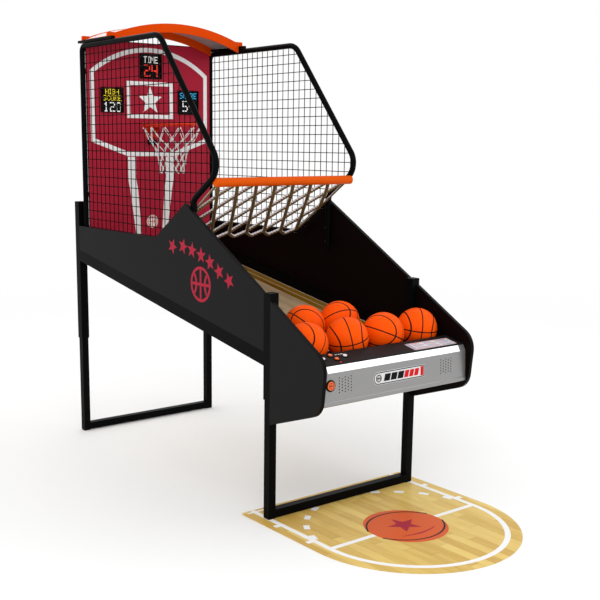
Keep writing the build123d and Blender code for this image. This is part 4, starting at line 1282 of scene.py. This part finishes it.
def makeMatPrint(m):
    maple, mapleDark = (0.8, 0.58, 0.17), (0.6, 0.37, 0.075)
    wood = stripFloor("printedMaple", maple, mapleDark, (0.3, 0.17, 0.04), m["boardWidth"], m["boardLength"])
    dress(wood, "floor_mat")
    low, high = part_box("floor_mat")
    half = high.x
    middleY = low.y + half
    line = half - m["lineInset"]

    def onMat(u, v, lift):
        return (u, v, high.z + lift)

    court = [(line, high.y - 0.004), *arc((0, middleY), line, 0, -180, 72), (-line, high.y - 0.004)]
    white = stroke(court, m["lineWidth"])
    inner, outer = line - m["lineWidth"] / 2, line + m["lineWidth"] / 2
    white.append(bar((-inner, middleY - m["lineWidth"] / 2), (inner, middleY + m["lineWidth"] / 2)))
    far = m["tickReach"]
    for v in m["ticks"]:
        for way in (-1, 1):
            ends = sorted((way * outer, way * far))
            white.append(bar((ends[0], v - m["tickWidth"] / 2), (ends[1], v + m["tickWidth"] / 2)))
    for way in (-1, 1):
        for pair in ((line - m["rearTickInside"], inner), (outer, far)):
            ends = sorted(way * u for u in pair)
            white.append(bar((ends[0], high.y - m["rearTick"][0]), (ends[1], high.y - m["rearTick"][1])))
    for angle in m["dashAngles"]:
        for turned in (angle, 180 - angle):
            spread = math.degrees(m["dashLength"] / 2 / line)
            dash = stroke(arc((0, middleY), line, turned - spread, turned + spread, 4), m["dashWidth"])
            white += [[(max(-inner, min(inner, u)), v) for u, v in outline] for outline in dash]
    slot = "mat_court"
    inked("mat_lines", white, onMat, m["ink"], whiteInk, slot)
    # the ball lies over the court's cross line, and its seams and star over the ball
    radius = m["ballRadius"]
    ball = [disc((0, middleY), radius, 96)]
    inked("mat_ball", ball, onMat, m["ballInk"], orangeInk, slot)
    # two seams, each an arc through three points worked out from its inset
    end = math.radians(m["seamEnd"])
    reach, start = radius * math.cos(end), radius * math.sin(end)
    top = radius - m["seamInset"]
    rise = top - start
    bend = (reach ** 2 + rise ** 2) / (2 * rise)
    spread = math.degrees(math.asin(reach / bend))
    seams = []
    for way in (-1, 1):
        centre = (0, middleY + way * (top - bend))
        seams += stroke(arc(centre, bend, way * 90 - spread, way * 90 + spread, 40), m["seamWidth"])
    inked("mat_ball_seams", seams, onMat, m["markInk"], blackInk, slot)
    # a star over a crescent that swells from its tips to its middle
    marks = [star((0, middleY + m["starShift"]), m["starSize"])]
    away, bend, spread = m["crescent"]
    steps = 16
    crescent = arc((0, middleY + away), bend, -90 - spread, -90 + spread, steps)
    marks += stroke(crescent, [0.004 + 0.0011 * min(i, steps - i) for i in range(steps + 1)])
    inked("mat_ball_star", marks, onMat, m["markInk"], crimsonInk, slot)


makeMatPrint(matArt)
print("ramp and mat")

# side panels: stars in an arch over a ball, on both outer faces
sideArt = {
    "ink": 0.0003,
    "starSize": 0.044,
    "starPlaces": [
        (0.855, 1.272),
        (0.752, 1.280),
        (0.667, 1.267),
        (0.583, 1.248),
        (0.502, 1.219),
        (0.422, 1.181),
        (0.335, 1.144),
    ],
    "starTurn": 8,           # degrees between one star and the next
    "ballPlace": (0.588, 1.098),
    "ballSize": 0.092,
    "ballLine": 0.015,
}


def makeSideArt(s):
    places = s["starPlaces"]
    shapes = []
    for number, place in enumerate(places):
        shapes.append(star(place, s["starSize"], 90 + s["starTurn"] * (len(places) // 2 - number)))
    shapes += ballIcon(s["ballPlace"], s["ballSize"], s["ballLine"])
    for side, way in (("left", -1), ("right", 1)):
        low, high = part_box(side + "_main_panel")
        face = low.x if way < 0 else high.x

        def onPanel(u, v, lift):
            return (face + way * lift, u, v)

        inked(side + "_panel_print", shapes, onPanel, s["ink"], crimsonInk, "panel_graphite")


makeSideArt(sideArt)
print("side panels")
